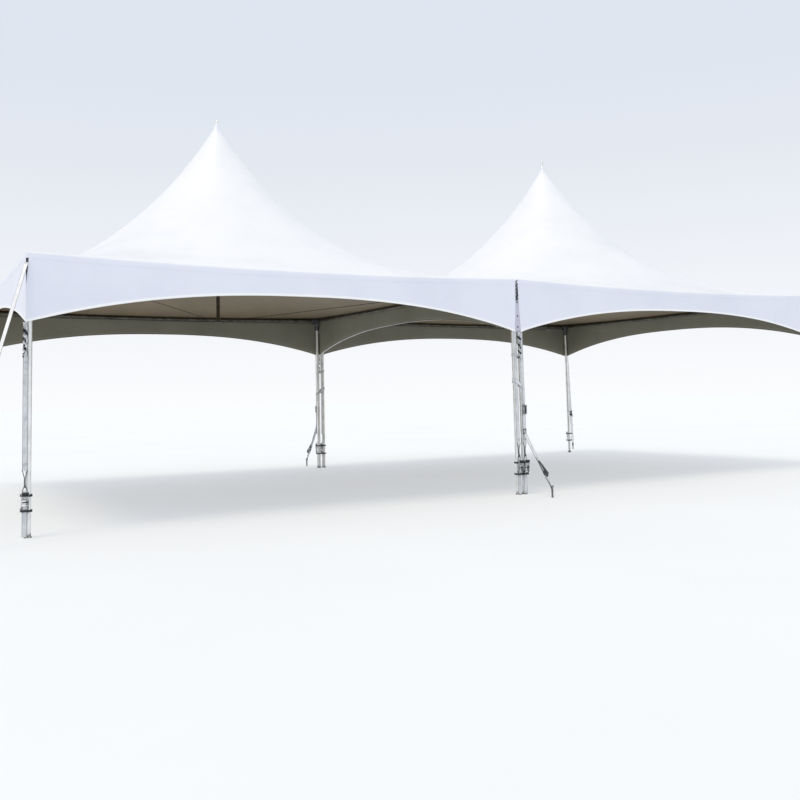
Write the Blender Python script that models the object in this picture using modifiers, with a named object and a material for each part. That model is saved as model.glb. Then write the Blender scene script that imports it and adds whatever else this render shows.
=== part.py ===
"""A marquee of two 20 ft high peak frame tents that stand side by side.

Each bay is a square tent of its own: four legs, four eave beams, a mast that stands on
crossed cables, a roof of four panels and four arched valances. The legs of the two bays
stand 100 mm apart in the middle and are strapped together. Webbing runs down each leg to a
ratchet, and six guys run out to stakes.

Metres, +Z up. The origin is on the ground under the middle of the marquee. The two bays
lie along X, and the front is at -Y.
"""
import math

import bmesh
import bpy
from mathutils import Matrix, Vector

for item in list(bpy.data.objects):
    bpy.data.objects.remove(item, do_unlink=True)

FOOT = 0.3048
SEAT_GAP = 0.0003
FACET_GAP = 0.0018

# Frame
BAY_SIDE = 20 * FOOT
TUBE_RADIUS = 0.0302
TWIN_LEG_SPACING = 0.100
BEAM_HEIGHT = 2.785
BEAM_BOW = 0.035
BEAM_STRAIGHT_END = 0.060
FITTING_RADIUS = 0.033
FITTING_ARM = 0.120
FITTING_SLEEVE = 0.190
FITTING_TOP = 0.040
FOOT_RADIUS = 0.040
FOOT_THICKNESS = 0.010

# Roof and valances
FABRIC = 0.005
PEAK_HEIGHT = 5.37
PEAK_HOLE = 0.046
PEAK_SHARPNESS = 1.5
CORNER_LIFT = 0.060
VALANCE_TIP = 2.12
VALANCE_MIDDLE = 2.48
VALANCE_POWER = 2.4

# Mast and its cables
MAST_RADIUS = 0.0254
MAST_FOOT = 2.450
MAST_SHOE_RADIUS = 0.036
MAST_SHOE_HEIGHT = 0.040
MAST_TOP = {"left": 5.435, "right": 5.50}
HUB_RADIUS = 0.055
HUB_THICKNESS = 0.012
CABLE_RADIUS = 0.006
CABLE_END_DROP = 0.055
CABLE_TILT = 0.08

# Webbing, ratchets and stakes
WEBBING_WIDTH = 0.050
WEBBING_THICKNESS = 0.0024
STRAP_TOP = 2.30
STRAP_OUT = 0.036
STRAP_HOOK = 0.64
HOOK_WIDTH = 0.024
HOOK_THICKNESS = 0.008
RATCHET_TOP = 0.44
RATCHET_LENGTH = 0.180
RATCHET_WIDTH = 0.066
RATCHET_DEPTH = 0.030
HANDLE_WIDTH = 0.050
HANDLE_DEPTH = 0.016
SPOOL_RADIUS = 0.011
SPOOL_END = 0.007
LINK = (0.030, 0.012, 0.070)
RUN_IN = 0.001
BAND_WIDTH = 0.022
BAND_WALL = 0.004
GUY_REACH_CORNER = 1.18
GUY_REACH_MIDDLE = 0.55
GUY_TOP_CORNER = 2.70
GUY_TOP_MIDDLE = 0.80
GUY_SIDE_MIDDLE = 0.055
BINDING_HEIGHT = 1.42
BINDING_WIDTH = 0.050
BUCKLE_HEIGHT = 1.10
STAKE_RADIUS = 0.0125
STAKE_HEIGHT = 0.150
STAKE_HEAD_RADIUS = 0.022
STAKE_HEAD_HEIGHT = 0.016
CORNER_PLATE = (0.004, 0.050, 0.080)

LEG_REACH = BAY_SIDE / 2 - TUBE_RADIUS
BAY_CENTRE = LEG_REACH + TWIN_LEG_SPACING / 2
ROOF_REACH = LEG_REACH + FITTING_RADIUS + SEAT_GAP + FABRIC
VALANCE_REACH = ROOF_REACH - FABRIC - 3 * SEAT_GAP
ROUND_SIDES = 12
PANEL_ROWS = 9
PANEL_COLUMNS = 6
QUARTER_TURN = math.pi / 2

parts = bpy.data.collections.new("marquee_tent")
bpy.context.scene.collection.children.link(parts)


def material(name, colour, roughness, metallic=0.0):
    """A Principled surface of one colour for one sub-part."""
    made = bpy.data.materials.new(name)
    made.use_nodes = True
    shader = made.node_tree.nodes["Principled BSDF"]
    shader.inputs["Base Color"].default_value = (*colour, 1.0)
    shader.inputs["Roughness"].default_value = roughness
    shader.inputs["Metallic"].default_value = metallic
    return made


WHITE_VINYL = material("white_vinyl", (0.86, 0.87, 0.89), 0.45)
ALUMINIUM = material("aluminium_tube", (0.66, 0.67, 0.68), 0.38, 1.0)
CAST_ALUMINIUM = material("cast_aluminium", (0.52, 0.53, 0.54), 0.5, 1.0)
STEEL_CABLE = material("galvanised_cable", (0.35, 0.35, 0.34), 0.5, 1.0)
WHITE_WEBBING = material("white_webbing", (0.78, 0.79, 0.80), 0.8)


def place(name, mesh, location, turn, surface):
    """One named piece: a mesh set at a place and turned about the vertical."""
    piece = bpy.data.objects.new(name, mesh)
    piece.location = location
    piece.rotation_euler = (0, 0, turn)
    if not mesh.materials:
        mesh.materials.append(surface)
    parts.objects.link(piece)
    return piece


def loose_piece(bm, matrix=None):
    """A temporary object from a bmesh, for joining or for reading its evaluated mesh."""
    if matrix is not None:
        bm.transform(matrix)
    mesh = bpy.data.meshes.new("loose")
    bm.to_mesh(mesh)
    bm.free()
    piece = bpy.data.objects.new("loose", mesh)
    bpy.context.scene.collection.objects.link(piece)
    return piece


def block(size, centre=(0, 0, 0), matrix=None):
    """A box of the given size about a centre."""
    bm = bmesh.new()
    bmesh.ops.create_cube(bm, size=1.0)
    bm.transform(Matrix.Translation(centre) @ Matrix.Diagonal((*size, 1.0)))
    return loose_piece(bm, matrix)


def along(start, end, across=(1, 0, 0)):
    """A frame midway between two points, its Z along them and its X near the direction across."""
    start = Vector(start)
    end = Vector(end)
    axis = (end - start).normalized()
    side = (Vector(across) - axis * axis.dot(Vector(across))).normalized()
    frame = Matrix((side, axis.cross(side), axis)).transposed().to_4x4()
    return Matrix.Translation((start + end) / 2) @ frame


def bar(start, end, width, thickness, across=(1, 0, 0)):
    """A flat bar or a length of webbing from one point to another."""
    length = (Vector(end) - Vector(start)).length
    return block((width, thickness, length), matrix=along(start, end, across))


def rod(start, end, radius, sides=ROUND_SIDES, across=(1, 0, 0)):
    """A round bar from one point to another."""
    bm = bmesh.new()
    length = (Vector(end) - Vector(start)).length
    bmesh.ops.create_cone(
        bm, cap_ends=True, segments=sides, radius1=radius, radius2=radius, depth=length
    )
    return loose_piece(bm, along(start, end, across))


def turned(profile, sides):
    """A turned solid: (radius, height) points, top to bottom, spun by a Screw modifier."""
    bm = bmesh.new()
    corners = [bm.verts.new((radius, 0, height)) for radius, height in profile]
    for first, second in zip(corners, corners[1:]):
        bm.edges.new((first, second))
    piece = loose_piece(bm)
    screw = piece.modifiers.new("turn", "SCREW")
    screw.steps = sides
    screw.render_steps = sides
    screw.use_merge_vertices = True
    screw.merge_threshold = 0.00005
    return piece


def finished_mesh(name, piece):
    """The evaluated mesh of a temporary piece, which is then removed."""
    graph = bpy.context.evaluated_depsgraph_get()
    mesh = bpy.data.meshes.new_from_object(piece.evaluated_get(graph))
    mesh.name = name
    bm = bmesh.new()
    bm.from_mesh(mesh)
    bmesh.ops.remove_doubles(bm, verts=bm.verts, dist=0.00002)
    bm.to_mesh(mesh)
    bm.free()
    bpy.data.objects.remove(piece, do_unlink=True)
    return mesh


def fused(name, first, *others, cut=()):
    """One closed mesh from overlapping pieces, less any pieces that are cut away."""
    for operation, group in (("UNION", others), ("DIFFERENCE", cut)):
        for other in group:
            joint = first.modifiers.new("join", "BOOLEAN")
            joint.operation = operation
            joint.object = other
    bpy.context.view_layer.update()
    mesh = finished_mesh(name, first)
    for other in (*others, *cut):
        bpy.data.objects.remove(other, do_unlink=True)
    return mesh


def smooth(mesh, angle=40):
    mesh.shade_smooth()
    mesh.set_sharp_from_angle(angle=math.radians(angle))
    return mesh


def fall(spread):
    """How far the roof has fallen, from 0 at the peak to 1 at the eave."""
    return (1 - math.exp(-PEAK_SHARPNESS * spread)) / (1 - math.exp(-PEAK_SHARPNESS))


EAVE_SLOPE = (PEAK_HEIGHT - BEAM_HEIGHT) * (1 - fall(LEG_REACH / ROOF_REACH)) / (ROOF_REACH - LEG_REACH)
SLOPED_LENGTH = math.hypot(1, EAVE_SLOPE)
BEAM_TOP_MIDDLE = BEAM_HEIGHT - BEAM_BOW + TUBE_RADIUS * SLOPED_LENGTH
EAVE_MIDDLE = (
    BEAM_TOP_MIDDLE + FACET_GAP + FABRIC * SLOPED_LENGTH - EAVE_SLOPE * (ROOF_REACH - LEG_REACH)
)


def roof_height(x, y):
    """The top of the roof over a bay: round near the peak, square at the eave."""
    u = x / ROOF_REACH
    v = y / ROOF_REACH
    spread = math.sqrt(max(u * u + v * v - u * u * v * v, 0.0))
    lift = CORNER_LIFT * u * u * v * v
    return PEAK_HEIGHT - (PEAK_HEIGHT - EAVE_MIDDLE) * fall(spread) + lift


def roof_slope(x, y):
    """The steepness of the roof at a point, as rise over run."""
    step = 0.01
    away = 1 + step / math.hypot(x, y)
    return abs(roof_height(x, y) - roof_height(x * away, y * away)) / step


def roof_panel_mesh():
    """The front panel of a bay's roof, from the peak to the front eave, lofted row by row.

    Its two hips lie on the bay's diagonals, a hair short of the next panels."""
    bm = bmesh.new()
    sheets = []
    for under in (False, True):
        rows = []
        for row in range(PANEL_ROWS + 1):
            part = (row / PANEL_ROWS) ** 1.35
            out = PEAK_HOLE + (ROOF_REACH - PEAK_HOLE) * part
            line = []
            for column in range(PANEL_COLUMNS + 1):
                x = (2 * column / PANEL_COLUMNS - 1) * (out - SEAT_GAP)
                height = roof_height(x, -out)
                if under:
                    height -= FABRIC * math.hypot(1, roof_slope(x, -out))
                line.append(bm.verts.new((x, -out, height)))
            rows.append(line)
        sheets.append(rows)
    top, bottom = sheets
    last_row = PANEL_ROWS
    last_column = PANEL_COLUMNS
    for row in range(last_row):
        for column in range(last_column):
            for rows in sheets:
                bm.faces.new(
                    (rows[row][column], rows[row][column + 1],
                     rows[row + 1][column + 1], rows[row + 1][column])
                )
        for column in (0, last_column):
            bm.faces.new(
                (top[row][column], top[row + 1][column],
                 bottom[row + 1][column], bottom[row][column])
            )
    for column in range(last_column):
        for row in (0, last_row):
            bm.faces.new(
                (top[row][column], top[row][column + 1],
                 bottom[row][column + 1], bottom[row][column])
            )
    bmesh.ops.recalc_face_normals(bm, faces=bm.faces)
    mesh = bpy.data.meshes.new("roof_panel")
    bm.to_mesh(mesh)
    bm.free()
    return smooth(mesh)


def eave_underside(x):
    """The underside of the roof's front edge, straight between the panel's columns."""
    step = 2 * ROOF_REACH / PANEL_COLUMNS
    column = min(int((x + ROOF_REACH) / step), PANEL_COLUMNS - 1)
    left = column * step - ROOF_REACH
    ends = []
    for end in (left, left + step):
        edge_slope = roof_slope(end, -ROOF_REACH)
        ends.append(roof_height(end, -ROOF_REACH) - FABRIC * math.hypot(1, edge_slope))
    share = (x - left) / step
    return ends[0] * (1 - share) + ends[1] * share


def valance_mesh():
    """The front valance of a bay: a flat sheet whose lower edge arches between the legs."""
    points = []
    for step in range(PANEL_COLUMNS + 1):
        x = VALANCE_REACH * (2 * step / PANEL_COLUMNS - 1)
        points.append((x, eave_underside(x) - SEAT_GAP))
    arch_steps = 20
    for step in range(arch_steps + 1):
        share = math.sin(QUARTER_TURN * (1 - 2 * step / arch_steps))
        height = VALANCE_MIDDLE - (VALANCE_MIDDLE - VALANCE_TIP) * abs(share) ** VALANCE_POWER
        points.append((VALANCE_REACH * share, height))
    outline = bpy.data.curves.new("valance", "CURVE")
    outline.dimensions = "2D"
    outline.fill_mode = "BOTH"
    outline.extrude = FABRIC / 2
    spline = outline.splines.new("POLY")
    spline.points.add(len(points) - 1)
    for point, (x, z) in zip(spline.points, points):
        point.co = (x, z, 0, 1)
    spline.use_cyclic_u = True
    piece = bpy.data.objects.new("loose", outline)
    bpy.context.scene.collection.objects.link(piece)
    bpy.context.view_layer.update()
    mesh = finished_mesh("valance", piece)
    mesh.transform(
        Matrix.Translation((0, -(ROOF_REACH - FABRIC / 2), 0)) @ Matrix.Rotation(QUARTER_TURN, 4, "X")
    )
    return mesh


def beam_mesh():
    """The front eave beam: a round tube that sags a little between two corner fittings."""
    reach = LEG_REACH - FITTING_ARM - SEAT_GAP
    steps = 8
    line = bpy.data.curves.new("beam", "CURVE")
    line.dimensions = "3D"
    line.bevel_depth = TUBE_RADIUS
    line.bevel_resolution = 3
    line.use_fill_caps = True
    points = [(-reach, BEAM_HEIGHT)]
    for step in range(steps + 1):
        share = 2 * step / steps - 1
        sag = BEAM_BOW * (1 - share * share)
        points.append(((reach - BEAM_STRAIGHT_END) * share, BEAM_HEIGHT - sag))
    points.append((reach, BEAM_HEIGHT))
    spline = line.splines.new("POLY")
    spline.points.add(len(points) - 1)
    for point, (x, z) in zip(spline.points, points):
        point.co = (x, -LEG_REACH, z, 1)
    piece = bpy.data.objects.new("loose", line)
    bpy.context.scene.collection.objects.link(piece)
    bpy.context.view_layer.update()
    return smooth(finished_mesh("eave_beam", piece))


def fitting_mesh():
    """The front left corner fitting: a sleeve over the leg and two arms for the beams."""
    centre = Vector((0, 0, BEAM_HEIGHT))
    sleeve = rod(
        centre - Vector((0, 0, FITTING_SLEEVE)), centre + Vector((0, 0, FITTING_TOP)), FITTING_RADIUS
    )
    arm_along_x = rod(centre, centre + Vector((FITTING_ARM, 0, 0)), FITTING_RADIUS, across=(0, 1, 0))
    arm_along_y = rod(centre, centre + Vector((0, FITTING_ARM, 0)), FITTING_RADIUS, across=(1, 0, 0))
    return smooth(fused("corner_fitting", sleeve, arm_along_x, arm_along_y))


def leg_mesh():
    """A round leg on a turned foot, up to the corner fitting's sleeve."""
    top = BEAM_HEIGHT - FITTING_SLEEVE - SEAT_GAP
    profile = (
        (0, top),
        (TUBE_RADIUS, top),
        (TUBE_RADIUS, FOOT_THICKNESS),
        (FOOT_RADIUS, FOOT_THICKNESS),
        (FOOT_RADIUS, 0),
        (0, 0),
    )
    return smooth(finished_mesh("leg", turned(profile, ROUND_SIDES)))


def mast_mesh(top):
    """The mast: a shoe that stands on the cable hub, a tube, and a cap over the peak hole."""
    shoulder = MAST_FOOT + MAST_SHOE_HEIGHT
    cap_low = PEAK_HEIGHT + FABRIC
    profile = (
        (0, top),
        (0.014, top - 0.006),
        (0.022, top - 0.022),
        (0.022, cap_low + 0.034),
        (0.034, cap_low + 0.022),
        (0.058, cap_low),
        (MAST_RADIUS, cap_low - 0.002),
        (MAST_RADIUS, shoulder),
        (MAST_SHOE_RADIUS, shoulder),
        (MAST_SHOE_RADIUS, MAST_FOOT + SEAT_GAP),
        (0, MAST_FOOT + SEAT_GAP),
    )
    return smooth(finished_mesh("mast", turned(profile, ROUND_SIDES)))


def cable_cross_mesh():
    """Four cables from the corner fittings to the hub that carries the mast."""
    hub_middle = MAST_FOOT - HUB_THICKNESS / 2
    hub = rod(
        (0, 0, MAST_FOOT - HUB_THICKNESS), (0, 0, MAST_FOOT), HUB_RADIUS
    )
    cables = []
    for turn in range(4):
        angle = QUARTER_TURN * (turn + 0.5)
        direction = Vector((math.cos(angle), math.sin(angle), 0))
        sleeve_face = FITTING_RADIUS * math.cos(math.pi / ROUND_SIDES)
        far = LEG_REACH * math.sqrt(2) - sleeve_face - SEAT_GAP - CABLE_RADIUS * CABLE_TILT
        start = direction * (HUB_RADIUS * 0.6) + Vector((0, 0, hub_middle))
        end = direction * far + Vector((0, 0, BEAM_HEIGHT - CABLE_END_DROP))
        cables.append(rod(start, end, CABLE_RADIUS, sides=6, across=(0, 0, 1)))
    return fused("cable_cross", hub, *cables)


def band(low, high, height, width):
    """A flat band at a height, round the rectangle that runs from low to high in X and Y."""
    size = Vector(high) - Vector(low)
    middle = (Vector(low) + Vector(high)) / 2
    outer = block((size.x + 2 * BAND_WALL, size.y + 2 * BAND_WALL, width), (*middle, height))
    inner = block((size.x, size.y, width * 2), (*middle, height))
    piece = bpy.data.objects.new("loose", fused("band", outer, cut=(inner,)))
    bpy.context.scene.collection.objects.link(piece)
    return piece


def tension_strap_mesh(outward):
    """Webbing from a valance's corner down the front of a leg to a ratchet that two bands hold.

    Its leg stands at the local origin. On an outer leg the webbing hangs from the valances' tips,
    past the leg's outward side (-1 or 1 along X). On an inner leg it comes down behind them."""
    face = TUBE_RADIUS + SEAT_GAP
    line = -(face + WEBBING_THICKNESS / 2)
    out = outward * STRAP_OUT
    top = VALANCE_TIP - SEAT_GAP if outward else STRAP_TOP
    webbing = bar((out, line, top), (out, line, STRAP_HOOK), WEBBING_WIDTH, WEBBING_THICKNESS)
    hook_line = line - WEBBING_THICKNESS / 2 - HOOK_THICKNESS / 4
    hook_high = (out, hook_line, STRAP_HOOK + HOOK_WIDTH)
    hook_low = (out, hook_line, RATCHET_TOP - HOOK_WIDTH)
    hook_link = bar(hook_high, hook_low, HOOK_WIDTH, HOOK_THICKNESS)
    middle = RATCHET_TOP - RATCHET_LENGTH / 2
    frame_line = line - RATCHET_DEPTH / 2 + RUN_IN
    frame = block((RATCHET_WIDTH, RATCHET_DEPTH, RATCHET_LENGTH), (out, frame_line, middle))
    frame_front = frame_line - RATCHET_DEPTH / 2
    handle_line = frame_front - HANDLE_DEPTH / 4
    handle = block((HANDLE_WIDTH, HANDLE_DEPTH, RATCHET_LENGTH * 0.6), (out, handle_line, middle))
    half_spool = RATCHET_WIDTH / 2 + SPOOL_END
    spool = rod(
        (out - half_spool, frame_line, middle), (out + half_spool, frame_line, middle),
        SPOOL_RADIUS, 8, (0, 0, 1),
    )
    reach = RATCHET_WIDTH / 2 + SEAT_GAP
    low = (min(-face, out - reach), frame_front)
    high = (max(face, out + reach), face)
    upper_band = RATCHET_TOP - BAND_WIDTH
    lower_band = RATCHET_TOP - RATCHET_LENGTH + BAND_WIDTH
    bands = [band(low, high, height, BAND_WIDTH) for height in (upper_band, lower_band)]
    tail_end = (out, line, FOOT_THICKNESS + SEAT_GAP)
    tail = bar((out, line, lower_band), tail_end, WEBBING_WIDTH, WEBBING_THICKNESS)
    return fused("tension_strap", webbing, hook_link, frame, handle, spool, tail, *bands)


def guy_pieces(top, reach, ratchet_share):
    """Webbing from a point down to a stake, in the plane of local X and Z, with its ratchet."""
    start = Vector(top)
    end = Vector((reach, 0, STAKE_HEIGHT * 0.6))
    run = end - start
    level = (0, 1, 0)
    webbing = bar(start, end, WEBBING_WIDTH, WEBBING_THICKNESS, level)
    middle = start + run * ratchet_share
    half = run.normalized() * (RATCHET_LENGTH / 2)
    outward = run.normalized().cross(Vector(level))
    if outward.z < 0:
        outward = -outward
    lift = outward * (RATCHET_DEPTH * 0.4)
    frame = bar(middle - half + lift, middle + half + lift, RATCHET_WIDTH, RATCHET_DEPTH, level)
    raised = outward * (RATCHET_DEPTH * 0.9 + HANDLE_DEPTH / 4)
    handle = bar(
        middle - half * 0.9 + raised, middle + half * 0.3 + raised, HANDLE_WIDTH, HANDLE_DEPTH, level
    )
    stake = rod((reach, 0, 0), (reach, 0, STAKE_HEIGHT), STAKE_RADIUS)
    head = rod((reach, 0, STAKE_HEIGHT - STAKE_HEAD_HEIGHT), (reach, 0, STAKE_HEIGHT), STAKE_HEAD_RADIUS)
    return webbing, frame, handle, stake, head


def corner_guy_mesh():
    """A corner guy: a plate on the roof's corner, webbing with a ratchet, and a stake.

    Its leg stands at the local origin and the guy runs out along +X."""
    corner = (ROOF_REACH + VALANCE_REACH - 2 * LEG_REACH) / math.sqrt(2) + SEAT_GAP
    plate = block(CORNER_PLATE, (corner + CORNER_PLATE[0] / 2, 0, GUY_TOP_CORNER))
    top = (corner + CORNER_PLATE[0] * 0.9, 0, GUY_TOP_CORNER)
    return fused("corner_guy", plate, *guy_pieces(top, GUY_REACH_CORNER, 0.72))


def middle_guy_mesh():
    """A middle guy: a wrap round the twin legs, a strap with a buckle down one leg, and the guy.

    The midpoint between the twin legs is at the local origin, and the guy runs out along -Y."""
    side = TWIN_LEG_SPACING / 2 + TUBE_RADIUS + SEAT_GAP
    front = TUBE_RADIUS + WEBBING_THICKNESS + 2 * SEAT_GAP
    wrap = band((-side, -front), (side, TUBE_RADIUS + SEAT_GAP), BINDING_HEIGHT, BINDING_WIDTH)
    line = -(front + BAND_WALL / 2)
    top = Vector((TWIN_LEG_SPACING / 2 + SPOOL_RADIUS, line, BINDING_HEIGHT))
    foot = Vector((GUY_SIDE_MIDDLE, line, GUY_TOP_MIDDLE))
    drop = bar(top, foot, WEBBING_WIDTH * 0.8, BAND_WALL)
    share = (BINDING_HEIGHT - BUCKLE_HEIGHT) / (BINDING_HEIGHT - GUY_TOP_MIDDLE)
    buckle_forward = Vector((0, (BAND_WALL - RATCHET_DEPTH) / 2, 0))
    buckle_size = (RATCHET_WIDTH, RATCHET_DEPTH, RATCHET_LENGTH * 0.7)
    buckle = block(buckle_size, top.lerp(foot, share) + buckle_forward)
    link = block(LINK, foot + Vector((0, (BAND_WALL - LINK[1]) / 2, 0)))
    place_out = Matrix.Translation((GUY_SIDE_MIDDLE, 0, 0)) @ Matrix.Rotation(-QUARTER_TURN, 4, "Z")
    pieces = guy_pieces((-line, 0, GUY_TOP_MIDDLE), GUY_REACH_MIDDLE, 0.62)
    for piece in pieces:
        piece.data.transform(place_out)
    return fused("middle_guy", wrap, drop, buckle, link, *pieces)


SIDE_NAMES = {"left": ("front", "inner", "back", "end"), "right": ("front", "end", "back", "inner")}
CORNER_NAMES = {
    "left": ("front_outer", "front_inner", "back_inner", "back_outer"),
    "right": ("front_inner", "front_outer", "back_outer", "back_inner"),
}

roof_panel = roof_panel_mesh()
valance = valance_mesh()
beam = beam_mesh()
fitting = fitting_mesh()
leg = leg_mesh()
masts = {bay: mast_mesh(top) for bay, top in MAST_TOP.items()}
cable_cross = cable_cross_mesh()
straps = {outward: tension_strap_mesh(outward) for outward in (-1, 0, 1)}

for bay, bay_sign in (("left", -1), ("right", 1)):
    centre = Vector((bay_sign * BAY_CENTRE, 0, 0))
    for quarter in range(4):
        turn = quarter * QUARTER_TURN
        side = SIDE_NAMES[bay][quarter]
        place(f"{bay}_roof_panel_{side}", roof_panel, centre, turn, WHITE_VINYL)
        place(f"{bay}_valance_{side}", valance, centre, turn, WHITE_VINYL)
        place(f"{bay}_eave_beam_{side}", beam, centre, turn, ALUMINIUM)
        corner = CORNER_NAMES[bay][quarter]
        stand = centre + Matrix.Rotation(turn, 3, "Z") @ Vector((-LEG_REACH, -LEG_REACH, 0))
        place(f"{bay}_fitting_{corner}", fitting, stand, turn, CAST_ALUMINIUM)
        place(f"{bay}_leg_{corner}", leg, stand, turn, ALUMINIUM)
        facing = 0 if stand.y < 0 else 1
        outward = 0 if "inner" in corner else bay_sign * (1 - 2 * facing)
        place(f"{bay}_tension_strap_{corner}", straps[outward], stand, facing * math.pi, WHITE_WEBBING)
    place(f"{bay}_mast", masts[bay], centre, 0, ALUMINIUM)
    place(f"{bay}_cable_cross", cable_cross, centre, 0, STEEL_CABLE)

corner_guy = corner_guy_mesh()
for bay, bay_sign in (("left", -1), ("right", 1)):
    for row, row_sign in (("front", -1), ("back", 1)):
        stand = (bay_sign * (BAY_CENTRE + LEG_REACH), row_sign * LEG_REACH, 0)
        turn = math.atan2(row_sign, bay_sign)
        place(f"corner_guy_{row}_{bay}", corner_guy, stand, turn, WHITE_WEBBING)

middle_guy = middle_guy_mesh()
place("middle_guy_front", middle_guy, (0, -LEG_REACH, 0), 0, WHITE_WEBBING)
place("middle_guy_back", middle_guy, (0, LEG_REACH, 0), math.pi, WHITE_WEBBING)
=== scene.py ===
"""A marquee of two 20 ft high peak frame tents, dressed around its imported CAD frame.

The sections follow the tents as they are put up: legs, corner fittings, eave beams, crossed
cables, masts, roofs, valances, joining flaps, lashings, tension straps, and the guys out to their
stakes."""
import math

import bmesh
import bpy
from mathutils import Matrix, Vector


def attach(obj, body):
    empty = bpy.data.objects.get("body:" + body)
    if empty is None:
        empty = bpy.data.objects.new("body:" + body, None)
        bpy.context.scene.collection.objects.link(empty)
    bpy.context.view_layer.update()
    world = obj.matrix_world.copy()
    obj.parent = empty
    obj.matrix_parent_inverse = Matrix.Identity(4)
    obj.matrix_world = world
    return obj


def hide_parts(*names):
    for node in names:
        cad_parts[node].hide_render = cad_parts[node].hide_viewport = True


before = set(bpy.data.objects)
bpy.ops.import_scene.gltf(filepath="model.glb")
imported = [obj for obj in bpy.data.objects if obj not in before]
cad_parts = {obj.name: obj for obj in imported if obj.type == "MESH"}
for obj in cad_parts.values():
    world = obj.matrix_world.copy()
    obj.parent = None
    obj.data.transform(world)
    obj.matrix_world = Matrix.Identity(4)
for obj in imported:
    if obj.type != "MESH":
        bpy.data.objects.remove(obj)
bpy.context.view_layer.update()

# The ground and the light
# A level pale floor, a broad soft sun that stands high in front on the left, and a pale sky that
# deepens a little upwards. The camera stands low, outside the front left corner.
FLOOR_SIZE = 360
FLOOR_GLOW = 1.09
SUN_STRENGTH = 1.35
SUN_SPREAD = math.radians(25)
SUN_WAY = (-0.42, -0.16, 1.0)
CAMERA_PLACE = (-7.4135, -12.507, 1.3005)
CAMERA_YAW, CAMERA_PITCH, CAMERA_ROLL = (math.radians(turn) for turn in (28.8239, 4.3037, -1.2101))
FOCAL_LENGTH = 40.508
LENS_SHIFT = (0.03612, -0.08779)


def colour(code):
    """The linear colour of an sRGB hex code."""
    shares = [int(code[place:place + 2], 16) / 255 for place in (1, 3, 5)]
    straight = [share / 12.92 if share <= 0.04045 else ((share + 0.055) / 1.055) ** 2.4 for share in shares]
    return (*straight, 1.0)


def add_node(tree, kind, joined=None, **settings):
    """One node in a material's tree, with its settings, and with values or links on its sockets."""
    node = tree.nodes.new(kind)
    for name, value in settings.items():
        setattr(node, name, value)
    for socket, value in (joined or {}).items():
        if isinstance(value, bpy.types.NodeSocket):
            tree.links.new(value, node.inputs[socket])
        else:
            node.inputs[socket].default_value = value
    return node


def new_finish(name, roughness, metallic=0.0):
    """A material with its tree and its Principled surface."""
    finish = bpy.data.materials.new(name)
    finish.use_nodes = True
    surface = finish.node_tree.nodes["Principled BSDF"]
    surface.inputs["Roughness"].default_value = roughness
    surface.inputs["Metallic"].default_value = metallic
    return finish, finish.node_tree, surface


# Screed floor: fine pale aggregate, matt, with only a breath of tone in it. Nearly half of its
# brightness is a glow of its own, which keeps the ground under the roofs as pale as a studio sweep.
floor_finish, tree, surface = new_finish("floated_screed", 0.9)
place = add_node(tree, "ShaderNodeTexCoord").outputs["Object"]
cloud = add_node(tree, "ShaderNodeTexNoise", {"Vector": place, "Scale": 0.35, "Detail": 5.0})
tone = add_node(
    tree, "ShaderNodeMix",
    {0: cloud.outputs["Fac"], 6: colour("#AAACAE"), 7: colour("#AFB1B3")}, data_type="RGBA",
)
tree.links.new(tone.outputs[2], surface.inputs["Base Color"])
tree.links.new(tone.outputs[2], surface.inputs["Emission Color"])
surface.inputs["Emission Strength"].default_value = FLOOR_GLOW
bpy.ops.object.select_all(action="DESELECT")
bpy.ops.mesh.primitive_plane_add(size=FLOOR_SIZE, location=(0, 0, 0))
floor = bpy.context.object
floor.name = "floor"
floor.data.materials.append(floor_finish)

sky = bpy.data.worlds.new("studio_sky")
bpy.context.scene.world = sky
sky.use_nodes = True
above = add_node(sky.node_tree, "ShaderNodeTexCoord").outputs["Generated"]
height = add_node(sky.node_tree, "ShaderNodeSeparateXYZ", {"Vector": above}).outputs["Z"]
rise = add_node(sky.node_tree, "ShaderNodeMapRange", {"Value": height, "From Min": 0.0, "From Max": 0.35})
backdrop = add_node(
    sky.node_tree, "ShaderNodeMix",
    {0: rise.outputs[0], 6: colour("#FBFCFE"), 7: colour("#E7EEF9")}, data_type="RGBA",
)
dim = add_node(
    sky.node_tree, "ShaderNodeMapRange", {"Value": height, "From Max": 0.25, "To Min": 1.0, "To Max": 0.92}
)
sky.node_tree.links.new(backdrop.outputs[2], sky.node_tree.nodes["Background"].inputs["Color"])
sky.node_tree.links.new(dim.outputs[0], sky.node_tree.nodes["Background"].inputs["Strength"])

key = bpy.data.lights.new("key", "SUN")
key.energy = SUN_STRENGTH
key.angle = SUN_SPREAD
key.color = colour("#FFF0D4")[:3]
key_stand = bpy.data.objects.new("key", key)
key_stand.rotation_euler = Vector(SUN_WAY).to_track_quat("Z", "Y").to_euler()
bpy.context.scene.collection.objects.link(key_stand)

lens = bpy.data.cameras.new("camera")
lens.sensor_width = 36.0
lens.lens = FOCAL_LENGTH
lens.shift_x, lens.shift_y = LENS_SHIFT
camera = bpy.data.objects.new("camera", lens)
camera.matrix_world = (
    Matrix.Translation(CAMERA_PLACE)
    @ Matrix.Rotation(-CAMERA_YAW, 4, "Z")
    @ Matrix.Rotation(math.pi / 2 + CAMERA_PITCH, 4, "X")
    @ Matrix.Rotation(CAMERA_ROLL, 4, "Z")
)
bpy.context.scene.collection.objects.link(camera)
bpy.context.scene.camera = camera
bpy.context.scene.view_settings.view_transform = "Standard"

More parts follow.
